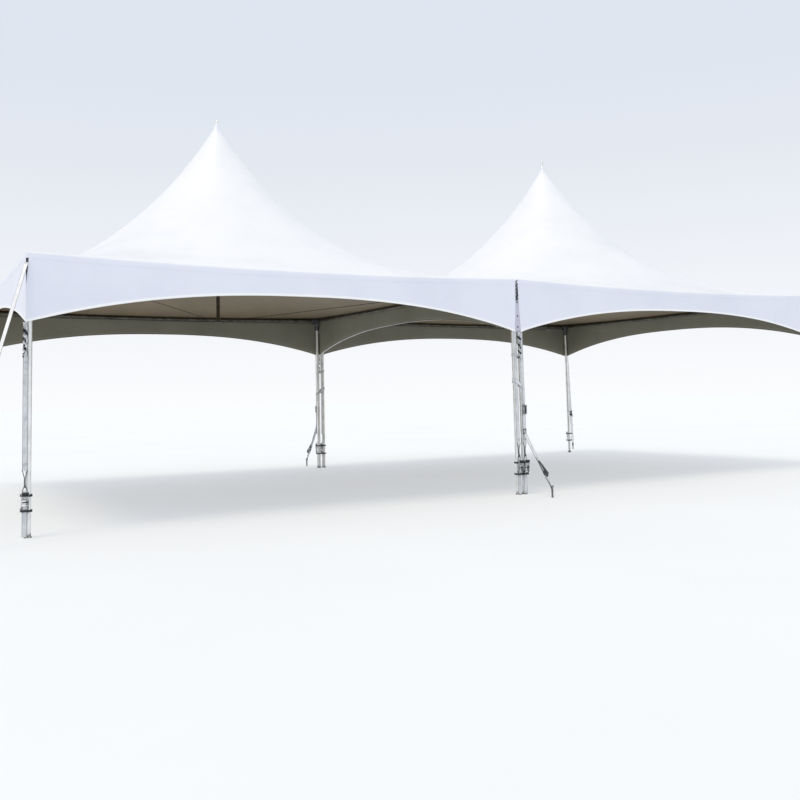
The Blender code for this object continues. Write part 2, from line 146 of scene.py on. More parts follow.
# Legs
# Each tent stands on four 60 mm aluminium tubes, 3 mm in the wall and left as extruded.
# A round foot plate is welded under each, and the corner fitting slips over its top end.
LEG_RADIUS = 0.0302
TUBE_WALL = 0.003
LEG_TOP = 2.5947
FOOT_RADIUS = 0.040
LEG_REACH = 3.0178
BAY_CENTRE = 3.0678
BAYS = {"left": -1, "right": 1}
QUARTER = math.pi / 2


def hold(obj):
    """Selects one object and no other, for the operators that follow."""
    bpy.ops.object.select_all(action="DESELECT")
    bpy.context.view_layer.objects.active = obj
    obj.select_set(True)


def begin(obj):
    """Enters edit mode on one object with nothing selected."""
    hold(obj)
    bpy.ops.object.mode_set(mode="EDIT")
    bpy.ops.mesh.select_all(action="DESELECT")


def pick(obj, kind, test):
    """In edit mode, selects the faces, edges or points that pass a test of their middle, and no others."""
    bpy.ops.mesh.select_mode(type=kind)
    bpy.ops.mesh.select_all(action="DESELECT")
    mesh = bmesh.from_edit_mesh(obj.data)
    for item in {"FACE": mesh.faces, "EDGE": mesh.edges, "VERT": mesh.verts}[kind]:
        corners = [item.co] if kind == "VERT" else [corner.co for corner in item.verts]
        if test(sum(corners, Vector()) / len(corners), item):
            item.select_set(True)
    mesh.select_flush_mode()
    bmesh.update_edit_mesh(obj.data)


def close_edit():
    """Points every face outwards and leaves edit mode."""
    bpy.ops.mesh.select_all(action="SELECT")
    bpy.ops.mesh.normals_make_consistent(inside=False)
    bpy.ops.object.mode_set(mode="OBJECT")


def turned(stations, sides=32):
    """A turned piece: a round blank drawn out from station to station, each (radius, height)."""
    bpy.ops.object.select_all(action="DESELECT")
    radius, height = stations[0]
    bpy.ops.mesh.primitive_circle_add(
        vertices=sides, radius=radius, fill_type="NGON", location=(0, 0, height), calc_uvs=False
    )
    obj = bpy.context.object
    bpy.ops.object.transform_apply()
    bpy.ops.object.mode_set(mode="EDIT")
    bpy.ops.mesh.select_mode(type="FACE")
    bpy.ops.mesh.select_all(action="SELECT")
    for next_radius, next_height in stations[1:]:
        bpy.ops.mesh.extrude_region_move(TRANSFORM_OT_translate={"value": (0, 0, next_height - height)})
        share = next_radius / radius
        bpy.ops.transform.resize(value=(share, share, 1), center_override=(0, 0, next_height))
        radius, height = next_radius, next_height
    close_edit()
    return obj


def block(size, middle=(0, 0, 0), rounding=0.0):
    """A squared blank with its edges eased."""
    bpy.ops.object.select_all(action="DESELECT")
    bpy.ops.mesh.primitive_cube_add(size=1, location=middle, calc_uvs=False)
    obj = bpy.context.object
    obj.scale = size
    bpy.ops.object.transform_apply()
    if rounding:
        bpy.ops.object.mode_set(mode="EDIT")
        bpy.ops.mesh.select_all(action="SELECT")
        bpy.ops.mesh.bevel(offset=rounding, segments=2, affect="EDGES")
        bpy.ops.object.mode_set(mode="OBJECT")
    return obj


def moved(obj, matrix):
    """Moves a piece's mesh, and leaves its object at the origin."""
    obj.data.transform(matrix)
    if matrix.determinant() < 0:
        obj.data.flip_normals()
    return obj


def joined(first, *others):
    """Several loose pieces as one object."""
    bpy.ops.object.select_all(action="DESELECT")
    for obj in (first, *others):
        obj.select_set(True)
    bpy.context.view_layer.objects.active = first
    bpy.ops.object.join()
    return first


def settle(obj, angle=35):
    """Smooths a piece up to an angle, and keeps its own shape's coordinates for its grain."""
    hold(obj)
    bpy.ops.object.shade_smooth_by_angle(angle=math.radians(angle))
    grain = obj.data.attributes.new("grain", "FLOAT_VECTOR", "POINT")
    for point, own in zip(obj.data.vertices, grain.data):
        own.vector = point.co
    return obj


def finished(obj, finish):
    """Gives a piece its finish."""
    obj.data.materials.append(finish)
    return obj


def dress(obj, name, slot, *nodes):
    """Names a finished piece, fixes it to the frame, and hides the solids that it stands for."""
    obj.name = name
    obj.data.name = name
    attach(obj, "root")
    if nodes:
        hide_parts(*nodes)
    return obj


def another(obj, matrix):
    """A copy of a piece with a mesh of its own, set at its place."""
    twin = bpy.data.objects.new(obj.name, obj.data.copy())
    bpy.context.scene.collection.objects.link(twin)
    return moved(twin, matrix)


def corners_of(bay):
    """The four corners of a bay: name, place of the leg, and quarter turns from the front left one."""
    side = BAYS[bay]
    for east, north, turns in ((-1, -1, 0), (1, -1, 1), (1, 1, 2), (-1, 1, 3)):
        row = "front" if north < 0 else "back"
        column = "outer" if east == side else "inner"
        place = Vector((side * BAY_CENTRE + east * LEG_REACH, north * LEG_REACH, 0))
        yield f"{row}_{column}", place, turns


def two_toned(tree, pattern, low, high, light, dark):
    """A colour that turns from light to dark where a pattern rises from low to high."""
    steps = add_node(tree, "ShaderNodeValToRGB", {"Fac": pattern})
    steps.color_ramp.elements[0].position = low
    steps.color_ramp.elements[1].position = high
    tone = add_node(
        tree, "ShaderNodeMix",
        {0: steps.outputs["Color"], 6: colour(light), 7: colour(dark)}, data_type="RGBA",
    )
    return tone.outputs[2]


def metal(name, light, dark, roughness, along, spot_scale=9.0, bump=0.0004):
    """A bare metal: fine draw lines along the piece, and duller patches where it has weathered."""
    finish, tree, surface = new_finish(name, roughness, metallic=1.0)
    own = add_node(tree, "ShaderNodeAttribute", attribute_name="grain").outputs["Vector"]
    spot = add_node(tree, "ShaderNodeTexCoord").outputs["Object"]
    stretched = add_node(tree, "ShaderNodeMapping", {"Vector": own, "Scale": along})
    lines = add_node(
        tree, "ShaderNodeTexNoise", {"Vector": stretched.outputs[0], "Scale": 1.0, "Detail": 3.0}
    )
    patches = add_node(tree, "ShaderNodeTexNoise", {"Vector": spot, "Scale": spot_scale, "Detail": 6.0})
    tone = two_toned(tree, patches.outputs["Fac"], 0.35, 0.68, light, dark)
    tree.links.new(tone, surface.inputs["Base Color"])
    rough = add_node(
        tree, "ShaderNodeMapRange",
        {"Value": lines.outputs["Fac"], "To Min": roughness - 0.08, "To Max": roughness + 0.12},
    )
    tree.links.new(rough.outputs[0], surface.inputs["Roughness"])
    relief = add_node(
        tree, "ShaderNodeBump", {"Height": lines.outputs["Fac"], "Strength": 0.5, "Distance": bump}
    )
    tree.links.new(relief.outputs["Normal"], surface.inputs["Normal"])
    return finish


# Extruded aluminium as it leaves the press: a soft silver with die lines 1 mm apart down its length.
# The lowest 100 mm are splashed with dried soil, in speckles of 5 to 15 mm.
SPLASH = 0.100
extruded_aluminium = metal("mill_extruded_aluminium", "#F8F8F6", "#E2E2DE", 0.36, (900, 900, 5))
tree = extruded_aluminium.node_tree
surface = tree.nodes["Principled BSDF"]
spot = add_node(tree, "ShaderNodeTexCoord").outputs["Object"]
level = add_node(tree, "ShaderNodeSeparateXYZ", {"Vector": spot}).outputs["Z"]
low_down = add_node(tree, "ShaderNodeMapRange", {"Value": level, "From Min": SPLASH, "From Max": 0.0})
speckle = add_node(tree, "ShaderNodeTexNoise", {"Vector": spot, "Scale": 60.0, "Detail": 4.0})
soiled = add_node(
    tree, "ShaderNodeMath", {0: low_down.outputs[0], 1: speckle.outputs["Fac"]}, operation="MULTIPLY"
)
soiled = add_node(
    tree, "ShaderNodeMapRange", {"Value": soiled.outputs[0], "From Min": 0.27, "From Max": 0.42}
)
clean = surface.inputs["Base Color"].links[0].from_socket
tone = add_node(
    tree, "ShaderNodeMix", {0: soiled.outputs[0], 6: clean, 7: colour("#74726A")}, data_type="RGBA"
)
tree.links.new(tone.outputs[2], surface.inputs["Base Color"])
bare = add_node(tree, "ShaderNodeMapRange", {"Value": soiled.outputs[0], "To Min": 1.0, "To Max": 0.0})
tree.links.new(bare.outputs[0], surface.inputs["Metallic"])

leg = turned(
    (
        (0.0385, 0.0), (FOOT_RADIUS, 0.0015), (FOOT_RADIUS, 0.0085), (0.0385, 0.010),
        (0.0345, 0.0103), (0.0320, 0.0122), (LEG_RADIUS, 0.0160), (LEG_RADIUS, LEG_TOP - 0.001),
        (LEG_RADIUS - 0.001, LEG_TOP), (LEG_RADIUS - TUBE_WALL, LEG_TOP),
        (LEG_RADIUS - TUBE_WALL, LEG_TOP - 0.04),
    )
)
finished(settle(leg), extruded_aluminium)
for bay in BAYS:
    for corner, stand, turns in corners_of(bay):
        piece = another(leg, Matrix.Translation(stand) @ Matrix.Rotation(turns * QUARTER, 4, "Z"))
        dress(piece, f"leg_tube_{bay}_{corner}", "aluminium_tube", f"{bay}_leg_{corner}")
bpy.data.objects.remove(leg)

# Corner fittings
# A three-way corner of larger tube, welded up with gussets: a sleeve over the leg and an arm
# for each eave beam. Hexagon bolts pin the tubes, and a welded eye takes the cable.
ARM_HEIGHT = 2.785
FITTING_RADIUS = 0.033
FITTING_ARM = 0.120
SLEEVE_BOTTOM = 2.595
SLEEVE_TOP = 2.825
CABLE_EYE_HEIGHT = 2.730
FITTING_BOLT = (0.0085, 0.0085, 0.006)
ARM_BOLTS = (0.085, 0.062)
SLEEVE_BOLTS = (2.625, 2.665)
GUSSET = (0.084, 0.006, 0.084)


def apply_steps(obj, *steps):
    """Applies modifiers in turn, each given as its kind and its settings."""
    hold(obj)
    for kind, settings in steps:
        step = obj.modifiers.new(kind.lower(), kind)
        for name, value in settings.items():
            setattr(step, name, value)
        bpy.ops.object.modifier_apply(modifier=step.name)
    return obj


def hex_bolt(across, head, shank):
    """A hexagon head on its washer, with the shank pointing down from the origin."""
    washer = turned(
        ((across, 0), (across * 1.05, 0.0006), (across * 1.05, 0.0014), (across, 0.002)), 16
    )
    cap = turned(
        (
            (across * 0.56, 0.002), (across * 0.58, 0.0026),
            (across * 0.58, head), (across * 0.48, head + 0.001),
        ), 6,
    )
    stem = turned(((across * 0.3, -shank), (across * 0.32, 0.0)), 10)
    return joined(washer, cap, stem)


def wire_ring(radius, wire, sides):
    """A closed ring of round wire that lies flat round the origin."""
    bpy.ops.object.select_all(action="DESELECT")
    bpy.ops.mesh.primitive_torus_add(
        major_radius=radius, minor_radius=wire, major_segments=sides, minor_segments=8, generate_uvs=False
    )
    return bpy.context.object


sleeve = turned(
    (
        (0.0308, 2.6150), (0.0308, SLEEVE_BOTTOM + 0.001), (0.0318, SLEEVE_BOTTOM), (0.0326, SLEEVE_BOTTOM),
        (FITTING_RADIUS, SLEEVE_BOTTOM + 0.0015), (FITTING_RADIUS, SLEEVE_TOP - 0.003), (0.030, SLEEVE_TOP),
    )
)
arm_stations = (
    (0.026, 0.0), (FITTING_RADIUS, 0.001), (FITTING_RADIUS, FITTING_ARM - 0.0015), (0.0326, FITTING_ARM),
    (0.0318, FITTING_ARM), (0.0308, FITTING_ARM - 0.001), (0.0308, FITTING_ARM - 0.018),
)
level = Matrix.Translation((0, 0, ARM_HEIGHT))
arm_east = moved(turned(arm_stations), level @ Matrix.Rotation(QUARTER, 4, "Y"))
arm_north = moved(turned(arm_stations), level @ Matrix.Rotation(-QUARTER, 4, "X"))
gussets = []
for turn in (0, 1):
    web = block(GUSSET, (0.050, 0, ARM_HEIGHT - 0.060))
    begin(web)
    pick(web, "EDGE", lambda middle, edge: middle.x > 0.09 and middle.z < ARM_HEIGHT - 0.1)
    bpy.ops.mesh.bevel(offset=0.058, segments=4, profile=0.35, affect="EDGES")
    bpy.ops.object.mode_set(mode="OBJECT")
    gussets.append(moved(web, Matrix.Rotation(turn * QUARTER, 4, "Z")))
steps = []
for other in (arm_east, arm_north, *gussets):
    steps.append(("BOOLEAN", {"operation": "UNION", "object": other, "solver": "EXACT"}))
apply_steps(
    sleeve, *steps,
    ("REMESH", {"mode": "VOXEL", "voxel_size": 0.0026, "use_smooth_shade": True}),
    ("SMOOTH", {"factor": 0.5, "iterations": 3}),
    ("DECIMATE", {"ratio": 0.16}),
)
for other in (arm_east, arm_north, *gussets):
    bpy.data.objects.remove(other)
hardware = []
for turn in (0, 1):
    for out in ARM_BOLTS:
        inside = Matrix.Translation((out, FITTING_RADIUS - 0.001, ARM_HEIGHT))
        inside = inside @ Matrix.Rotation(-QUARTER, 4, "X")
        if turn:
            inside = Matrix.Rotation(QUARTER, 4, "Z") @ Matrix.Scale(-1, 4, (0, 1, 0)) @ inside
        hardware.append(moved(hex_bolt(*FITTING_BOLT), inside))
diagonal = Matrix.Rotation(math.radians(45), 4, "Z")
upright = Matrix.Rotation(QUARTER, 4, "X")
for height in SLEEVE_BOLTS:
    sideways = diagonal @ Matrix.Translation((0, -FITTING_RADIUS + 0.001, height))
    hardware.append(moved(hex_bolt(*FITTING_BOLT), sideways @ upright))
inward = diagonal @ Matrix.Translation((FITTING_RADIUS + 0.009, 0, CABLE_EYE_HEIGHT))
eye = moved(wire_ring(0.013, 0.0032, 24), inward @ upright)
fitting = joined(sleeve, *hardware, eye)
settle(fitting, 40)
# Sand cast and welded aluminium: greyer than the tube, with a grit of about 1 mm in its skin, and darker
# still by painted shade for the shade under the roof.
cast_aluminium = metal("welded_cast_aluminium_painted_shade", "#7E7F80", "#555657", 0.55, (260, 260, 260), 30.0, 0.0012)
finished(fitting, cast_aluminium)
for bay in BAYS:
    for corner, stand, turns in corners_of(bay):
        piece = another(fitting, Matrix.Translation(stand) @ Matrix.Rotation(turns * QUARTER, 4, "Z"))
        dress(piece, f"corner_fitting_{bay}_{corner}", "cast_aluminium", f"{bay}_fitting_{corner}")
bpy.data.objects.remove(fitting)

# Eave beams
# The same tube as the legs runs from fitting to fitting under the eave. The pull of the roof
# bows each one down by 35 mm in the middle. Its dull dark colour is painted shade under the roof.
BEAM_REACH = LEG_REACH - FITTING_ARM - 0.0003
BEAM_BOW = 0.035
BEAM_STRAIGHT = 0.060
BEAM_CUTS = 47


def sides_of(bay):
    """The four sides of a bay: name, quarter turns from the front, and the kinds of its two corners."""
    side = BAYS[bay]
    outer, inner = ("outer", "inner") if side < 0 else ("inner", "outer")
    right_name, left_name = ("end", "inner") if side > 0 else ("inner", "end")
    yield "front", 0, (outer, inner)
    yield right_name, 1, ("outer", "outer") if right_name == "end" else ("inner", "inner")
    yield "back", 2, (inner, outer)
    yield left_name, 3, ("outer", "outer") if left_name == "end" else ("inner", "inner")


def bay_turn(bay, turns):
    """The matrix that sets a piece made for a bay's front on one of the bay's sides."""
    return Matrix.Translation((BAYS[bay] * BAY_CENTRE, 0, 0)) @ Matrix.Rotation(turns * QUARTER, 4, "Z")


bore = LEG_RADIUS - TUBE_WALL
beam = turned(
    (
        (bore, -BEAM_REACH + 0.03), (bore, -BEAM_REACH), (LEG_RADIUS, -BEAM_REACH),
        (LEG_RADIUS, BEAM_REACH), (bore, BEAM_REACH), (bore, BEAM_REACH - 0.03),
    ),
    28,
)
begin(beam)
pick(beam, "EDGE", lambda middle, edge: edge.calc_length() > 1)
bpy.ops.mesh.subdivide(number_cuts=BEAM_CUTS)
bpy.ops.object.mode_set(mode="OBJECT")
settle(beam)
moved(beam, Matrix.Rotation(QUARTER, 4, "Y"))
for point in beam.data.vertices:
    share = min(1.0, abs(point.co.x) / (BEAM_REACH - BEAM_STRAIGHT))
    point.co += Vector((0, -LEG_REACH, ARM_HEIGHT - BEAM_BOW * (1 - share * share)))
# The same extruded tube with painted shade: an olive grey for the shade under the roof, darker in random
# patches.
painted_shade_aluminium = metal("extruded_aluminium_painted_shade", "#6A675E", "#4A473F", 0.45, (900, 900, 5))
finished(beam, painted_shade_aluminium)
for bay in BAYS:
    for side, turns, ends in sides_of(bay):
        piece = another(beam, bay_turn(bay, turns))
        dress(piece, f"eave_beam_{bay}_{side}", "aluminium_tube", f"{bay}_eave_beam_{side}")
bpy.data.objects.remove(beam)

# Crossed cables
# Four galvanised wire ropes run from the corner fittings down to a steel hub that carries the
# mast. Each rope is six strands laid in a spiral, with a thimble and a pressed sleeve at each end.
ROPE_RADIUS = 0.0058
ROPE_LAY = 0.110
STRANDS = 6
HUB_HEIGHT = 2.444
CABLE_FAR = 4.2351


def laid_rope(length, radius, strands, lay, rings_a_turn):
    """A laid rope up the Z axis: a fluted bar, cut into rings and twisted by one turn for each lay."""
    bpy.ops.object.select_all(action="DESELECT")
    bpy.ops.mesh.primitive_cylinder_add(
        vertices=strands * 2, radius=radius, depth=length, location=(0, 0, length / 2), calc_uvs=False
    )
    obj = bpy.context.object
    bpy.ops.object.transform_apply()
    begin(obj)
    furrow = math.pi / strands
    pick(obj, "VERT", lambda place, point: round(math.atan2(place.y, place.x) / furrow) % 2 == 1)
    bpy.ops.transform.resize(value=(0.74, 0.74, 1), center_override=(0, 0, 0))
    pick(obj, "EDGE", lambda middle, edge: edge.calc_length() > length * 0.9)
    bpy.ops.mesh.subdivide(number_cuts=int(length / lay * rings_a_turn))
    bpy.ops.object.mode_set(mode="OBJECT")
    twist = {"deform_method": "TWIST", "deform_axis": "Z", "angle": length / lay * 2 * math.pi}
    return apply_steps(obj, ("SIMPLE_DEFORM", twist))


def between(start, end):
    """The matrix that lays a piece built up the Z axis along a line, from its start."""
    run = Vector(end) - Vector(start)
    return Matrix.Translation(start) @ run.to_track_quat("Z", "Y").to_matrix().to_4x4()


hub_end = Vector((0.058, 0, HUB_HEIGHT))
eye_end = Vector((CABLE_FAR - 0.020, 0, CABLE_EYE_HEIGHT))
run = eye_end - hub_end
rope = laid_rope(run.length - 0.05, ROPE_RADIUS, STRANDS, ROPE_LAY, 18)
ends = []
for sleeve_foot, thimble_middle in ((-0.010, -0.030), (run.length - 0.080, run.length - 0.012)):
    pressed = turned(((0.0062, 0), (0.0092, 0.004), (0.0092, 0.030), (0.0062, 0.034)), 12)
    ends.append(moved(pressed, Matrix.Translation((0, 0, sleeve_foot))))
    thimble = wire_ring(0.0125, 0.0042, 20)
    thimble.scale = (1.0, 1.5, 1.0)
    bpy.ops.object.transform_apply()
    ends.append(moved(thimble, Matrix.Translation((0, 0, thimble_middle)) @ upright))
cable = joined(rope, *ends)
settle(cable, 60)
moved(cable, between(hub_end, eye_end))
hub = turned(
    (
        (0.050, 2.4380), (0.055, 2.4392), (0.055, 2.4488), (0.050, 2.4500), (0.0385, 2.4500),
        (0.0385, 2.4501), (0.030, 2.4501),
    )
)
settle(hub)
cables = [another(cable, Matrix.Rotation((turn + 0.5) * QUARTER, 4, "Z")) for turn in range(4)]
bpy.data.objects.remove(cable)
cross = joined(hub, *cables)
# Hot dipped galvanised steel rope, with no shine: its dark grey is painted shade under the roof, darker in
# random patches.
galvanised_rope = metal("galvanised_wire_rope_painted_shade", "#5E5D57", "#3C3B36", 0.55, (300, 300, 300), 14.0, 0.0008)
finished(cross, galvanised_rope)
for bay in BAYS:
    piece = another(cross, bay_turn(bay, 0))
    dress(piece, f"cable_cross_{bay}", "steel_cable", f"{bay}_cable_cross")
bpy.data.objects.remove(cross)

# Masts
# A 51 mm tube stands in a shoe on the cable hub and lifts the middle of the roof. A steel band
# clamps the roof's collar to it, and a domed plug closes its top. The right mast reaches higher.
MAST_RADIUS = 0.0254
MAST_FOOT = 2.4503
CLAMP_LOW = 5.352
MAST_TOPS = {"left": 5.435, "right": 5.50}

for bay, top in MAST_TOPS.items():
    mast = turned(
        (
            (0.034, MAST_FOOT), (0.036, MAST_FOOT + 0.002), (0.036, 2.486), (0.034, 2.490), (0.0285, 2.490),
            (0.0268, 2.494), (MAST_RADIUS, 2.497), (MAST_RADIUS, CLAMP_LOW), (0.0300, CLAMP_LOW),
            (0.0308, CLAMP_LOW + 0.002), (0.0308, CLAMP_LOW + 0.015), (0.0300, CLAMP_LOW + 0.017),
            (0.0265, CLAMP_LOW + 0.018), (0.0240, CLAMP_LOW + 0.022), (0.0235, top - 0.024),
            (0.0235, top - 0.020), (0.0250, top - 0.019), (0.0250, top - 0.013), (0.0215, top - 0.007),
            (0.0140, top - 0.002), (0.004, top),
        )
    )
    settle(mast)
    # Below its clamp the mast has the aluminium with painted shade, for the shade under the roof; its top,
    # out in the light, has the plain bright aluminium.
    mast.data.materials.append(painted_shade_aluminium)
    mast.data.materials.append(extruded_aluminium)
    for face in mast.data.polygons:
        face.material_index = int(face.center.z > CLAMP_LOW - 0.01)
    moved(mast, bay_turn(bay, 0))
    dress(mast, f"mast_{bay}", "aluminium_tube", f"{bay}_mast")

# Roofs
# One cover for each tent, cut as four gores and welded along the hips, pulled over the beams
# into a concave peak. It is PVC-coated polyester, white outside, with painted taupe grey shade inside.
PEAK = 5.37
EAVE_MIDDLE = 2.7752
ROOF_REACH = 3.0561
CORNER_LIFT = 0.060
SHARPNESS = 1.5
SKIN = 0.0016
COLLAR_RADIUS = 0.0275
COLLAR_RISE = 0.042
COLLAR_WIDTH = 0.020
ROUND_REACH = 0.10
ROUND_TO_SQUARE = 1.1
EDGE_ROUNDING = 0.024
EDGE_RINGS = 5
LAP = 0.045
LAP_RINGS = 3
FLAT_RINGS = 46
RING_CROWDING = 1.45
HIP_WELD = 0.022
WELD_START = 0.12
WELD_RISE = 0.0012
HEM_LINE = 0.0245
STITCH_PITCH = 0.0072
STITCH_SHARE = 0.68
STITCH_ROWS = (0.005, 0.021)
STITCH_HALF = 0.0007
SCRIM_PITCH = 0.003
# A wave texture draws this many bands a metre for each unit of its scale.
WAVE_BANDS = 3.2


def roof_height(x, y):
    """The top of the cover over a bay: round near the peak, square at the eave."""
    u = x / ROOF_REACH
    v = y / ROOF_REACH
    spread = math.sqrt(max(u * u + v * v - u * u * v * v, 0.0))
    fall = (1 - math.exp(-SHARPNESS * spread)) / (1 - math.exp(-SHARPNESS))
    return PEAK - (PEAK - EAVE_MIDDLE) * fall + CORNER_LIFT * u * u * v * v


rings = []
for ring in range(FLAT_RINGS + 1):
    share = (ring / FLAT_RINGS) ** RING_CROWDING
    rings.append((COLLAR_RADIUS + (ROOF_REACH - EDGE_ROUNDING - COLLAR_RADIUS) * share, 0.0))
for step in range(1, EDGE_RINGS + 1):
    angle = step / EDGE_RINGS * QUARTER
    reach = ROOF_REACH - EDGE_ROUNDING * (1 - math.sin(angle))
    rings.append((reach, EDGE_ROUNDING * (1 - math.cos(angle))))
for step in range(1, LAP_RINGS + 1):
    rings.append((ROOF_REACH + 0.0004 * step, EDGE_ROUNDING + LAP * step / LAP_RINGS))
RING_COUNT = len(rings)


def clamped(share):
    """A share kept between 0 and 1."""
    return min(1.0, max(0.0, share))


def cover_point(a, b):
    """Where a point of the square cut lies on the cover. Both shares run from -1 to 1."""
    size = max(abs(a), abs(b))
    ring = round(size * RING_COUNT)
    if ring == 0:
        return Vector((0, 0, PEAK))
    reach, drop = rings[ring - 1]
    across = [math.copysign(math.sin(abs(part) / size * QUARTER), part) for part in (a, b)]
    square = Vector(across) * reach
    round_one = Vector((a, b)).normalized() * reach
    blend = clamped((reach - ROUND_REACH) / ROUND_TO_SQUARE)
    blend = blend * blend * (3 - 2 * blend)
    x, y = round_one.lerp(square, blend)
    height = roof_height(x, y) - drop
    out = math.hypot(x, y)
    height += COLLAR_RISE * math.exp(-(out - COLLAR_RADIUS) / COLLAR_WIDTH)
    off_hip = abs(abs(x) - abs(y)) / math.sqrt(2)
    if WELD_START < out and off_hip < HIP_WELD and drop < 0.001:
        height += WELD_RISE
    return Vector((x, y, height))


def lay_uv(obj, rule):
    """Gives a piece a UV map from its own coordinates, in metres."""
    layer = obj.data.uv_layers.new(name="cut")
    for corner in obj.data.loops:
        layer.data[corner.index].uv = rule(obj.data.vertices[corner.vertex_index].co)


def coated_cloth(name, base, shade, roughness, hem=None):
    """PVC-coated polyester: a smooth film over a scrim, with stitched hems and a little weathering.

    Where a hem colour is given, the doubled cloth along the cut's lower edge has it."""
    finish, tree, surface = new_finish(name, roughness)
    spot = add_node(tree, "ShaderNodeTexCoord").outputs["Object"]
    cut = add_node(tree, "ShaderNodeTexCoord").outputs["UV"]
    stain = add_node(
        tree, "ShaderNodeTexNoise", {"Vector": spot, "Scale": 0.9, "Detail": 8.0, "Roughness": 0.62}
    )
    tone = two_toned(tree, stain.outputs["Fac"], 0.42, 0.72, base, shade)
    parts = add_node(tree, "ShaderNodeSeparateXYZ", {"Vector": cut})
    up = parts.outputs["Y"]
    if hem:
        doubled = add_node(
            tree, "ShaderNodeMapRange", {"Value": up, "From Min": HEM_LINE + 0.003, "From Max": HEM_LINE}
        )
        hemmed = add_node(
            tree, "ShaderNodeMix", {0: doubled.outputs[0], 6: tone, 7: colour(hem)}, data_type="RGBA"
        )
        tone = hemmed.outputs[2]
    tree.links.new(tone, surface.inputs["Base Color"])
    # The scrim's yarns are 1.1 mm apart. They are drawn at 3 mm, the finest that a near view can show.
    threads = {"Vector": cut, "Scale": 1 / SCRIM_PITCH / WAVE_BANDS}
    warp = add_node(tree, "ShaderNodeTexWave", threads, bands_direction="X")
    weft = add_node(tree, "ShaderNodeTexWave", threads, bands_direction="Y")
    scrim = add_node(
        tree, "ShaderNodeMath", {0: warp.outputs["Fac"], 1: weft.outputs["Fac"]}, operation="MULTIPLY"
    )
    creases = add_node(
        tree, "ShaderNodeTexNoise", {"Vector": spot, "Scale": 2.2, "Detail": 4.0, "Distortion": 1.2}
    )
    along = add_node(tree, "ShaderNodeMath", {0: parts.outputs["X"], 1: STITCH_PITCH}, operation="DIVIDE")
    dash = add_node(tree, "ShaderNodeMath", {0: along.outputs[0]}, operation="FRACT")
    dash = add_node(tree, "ShaderNodeMath", {0: dash.outputs[0], 1: STITCH_SHARE}, operation="LESS_THAN")
    stitch = None
    for height in STITCH_ROWS:
        row = add_node(tree, "ShaderNodeMath", {0: up, 1: height, 2: STITCH_HALF}, operation="COMPARE")
        row = add_node(tree, "ShaderNodeMath", {0: row.outputs[0], 1: dash.outputs[0]}, operation="MULTIPLY")
        if stitch:
            row = add_node(tree, "ShaderNodeMath", {0: row.outputs[0], 1: stitch}, operation="ADD")
        stitch = row.outputs[0]
    fine = add_node(
        tree, "ShaderNodeBump", {"Height": scrim.outputs[0], "Strength": 0.18, "Distance": 0.0003}
    )
    broad = add_node(
        tree, "ShaderNodeBump",
        {
            "Height": creases.outputs["Fac"], "Strength": 0.35, "Distance": 0.006,
            "Normal": fine.outputs["Normal"],
        },
    )
    sewn = add_node(
        tree, "ShaderNodeBump",
        {"Height": stitch, "Strength": 0.8, "Distance": 0.0008, "Normal": broad.outputs["Normal"]},
        invert=True,
    )
    tree.links.new(sewn.outputs["Normal"], surface.inputs["Normal"])
    surface.inputs["Coat Weight"].default_value = 0.12
    surface.inputs["Coat Roughness"].default_value = 0.35
    return finish


# White PVC film: bright and low in sheen, with faint grey weathering in broad clouds.
cloth_outside = coated_cloth("white_pvc_coated_polyester", "#EDEFF3", "#E4E7EC", 0.44)
# The upright cloth of eaves and valances: the same film with painted bluish sky shade in its white, and
# whiter along the doubled hem.
upright_cloth_painted_shade = coated_cloth("pvc_coated_polyester_painted_sky_shade", "#E6E9F5", "#DEE2EE", 0.44, "#FAFBFC")
# The inside faces carry painted shade: a dark taupe grey for the shade under the cover and the brown ground
# light in it.
cloth_inside = coated_cloth("taupe_pvc_inner_coat", "#7C705A", "#6F644E", 0.55)


def cloth_grid(columns, rows, rule):
    """A flat cut of cloth as a grid, each point moved to its place. Both shares run from -1 to 1."""
    bpy.ops.object.select_all(action="DESELECT")
    bpy.ops.mesh.primitive_grid_add(x_subdivisions=columns, y_subdivisions=rows, size=2, calc_uvs=False)
    obj = bpy.context.object
    places = [rule(point.co.x, point.co.y) for point in obj.data.vertices]
    for point, place in zip(obj.data.vertices, places):
        point.co = place
    return obj


def give_skin(obj, outside, inside):
    """Gives a sheet its thickness on the inner side, with one finish outside and another inside."""
    obj.data.materials.append(outside)
    obj.data.materials.append(inside)
    apply_steps(obj, ("SOLIDIFY", {"thickness": SKIN, "offset": -1.0, "material_offset": 1, "use_rim": True}))
    return settle(obj, 50)


cover = cloth_grid(RING_COUNT * 2, RING_COUNT * 2, cover_point)
begin(cover)
pick(cover, "FACE", lambda middle, face: math.hypot(middle.x, middle.y) < COLLAR_RADIUS * 0.9)
bpy.ops.mesh.delete(type="FACE")
bpy.ops.object.mode_set(mode="OBJECT")
lay_uv(cover, lambda place: (place.x + 10, place.y + 10))
give_skin(cover, cloth_outside, cloth_inside)
# The cover's upright faces at the eave lap take the upright cloth and its painted shade.
cover.data.materials.append(upright_cloth_painted_shade)
for face in cover.data.polygons:
    if face.material_index == 0 and abs(face.normal.z) < 0.5:
        face.material_index = 2
for bay in BAYS:
    piece = another(cover, bay_turn(bay, 0))
    panels = [f"{bay}_roof_panel_{side}" for side in ("front", "inner", "back", "end")]
    dress(piece, f"roof_cover_{bay}", "white_vinyl", *panels)
bpy.data.objects.remove(cover)

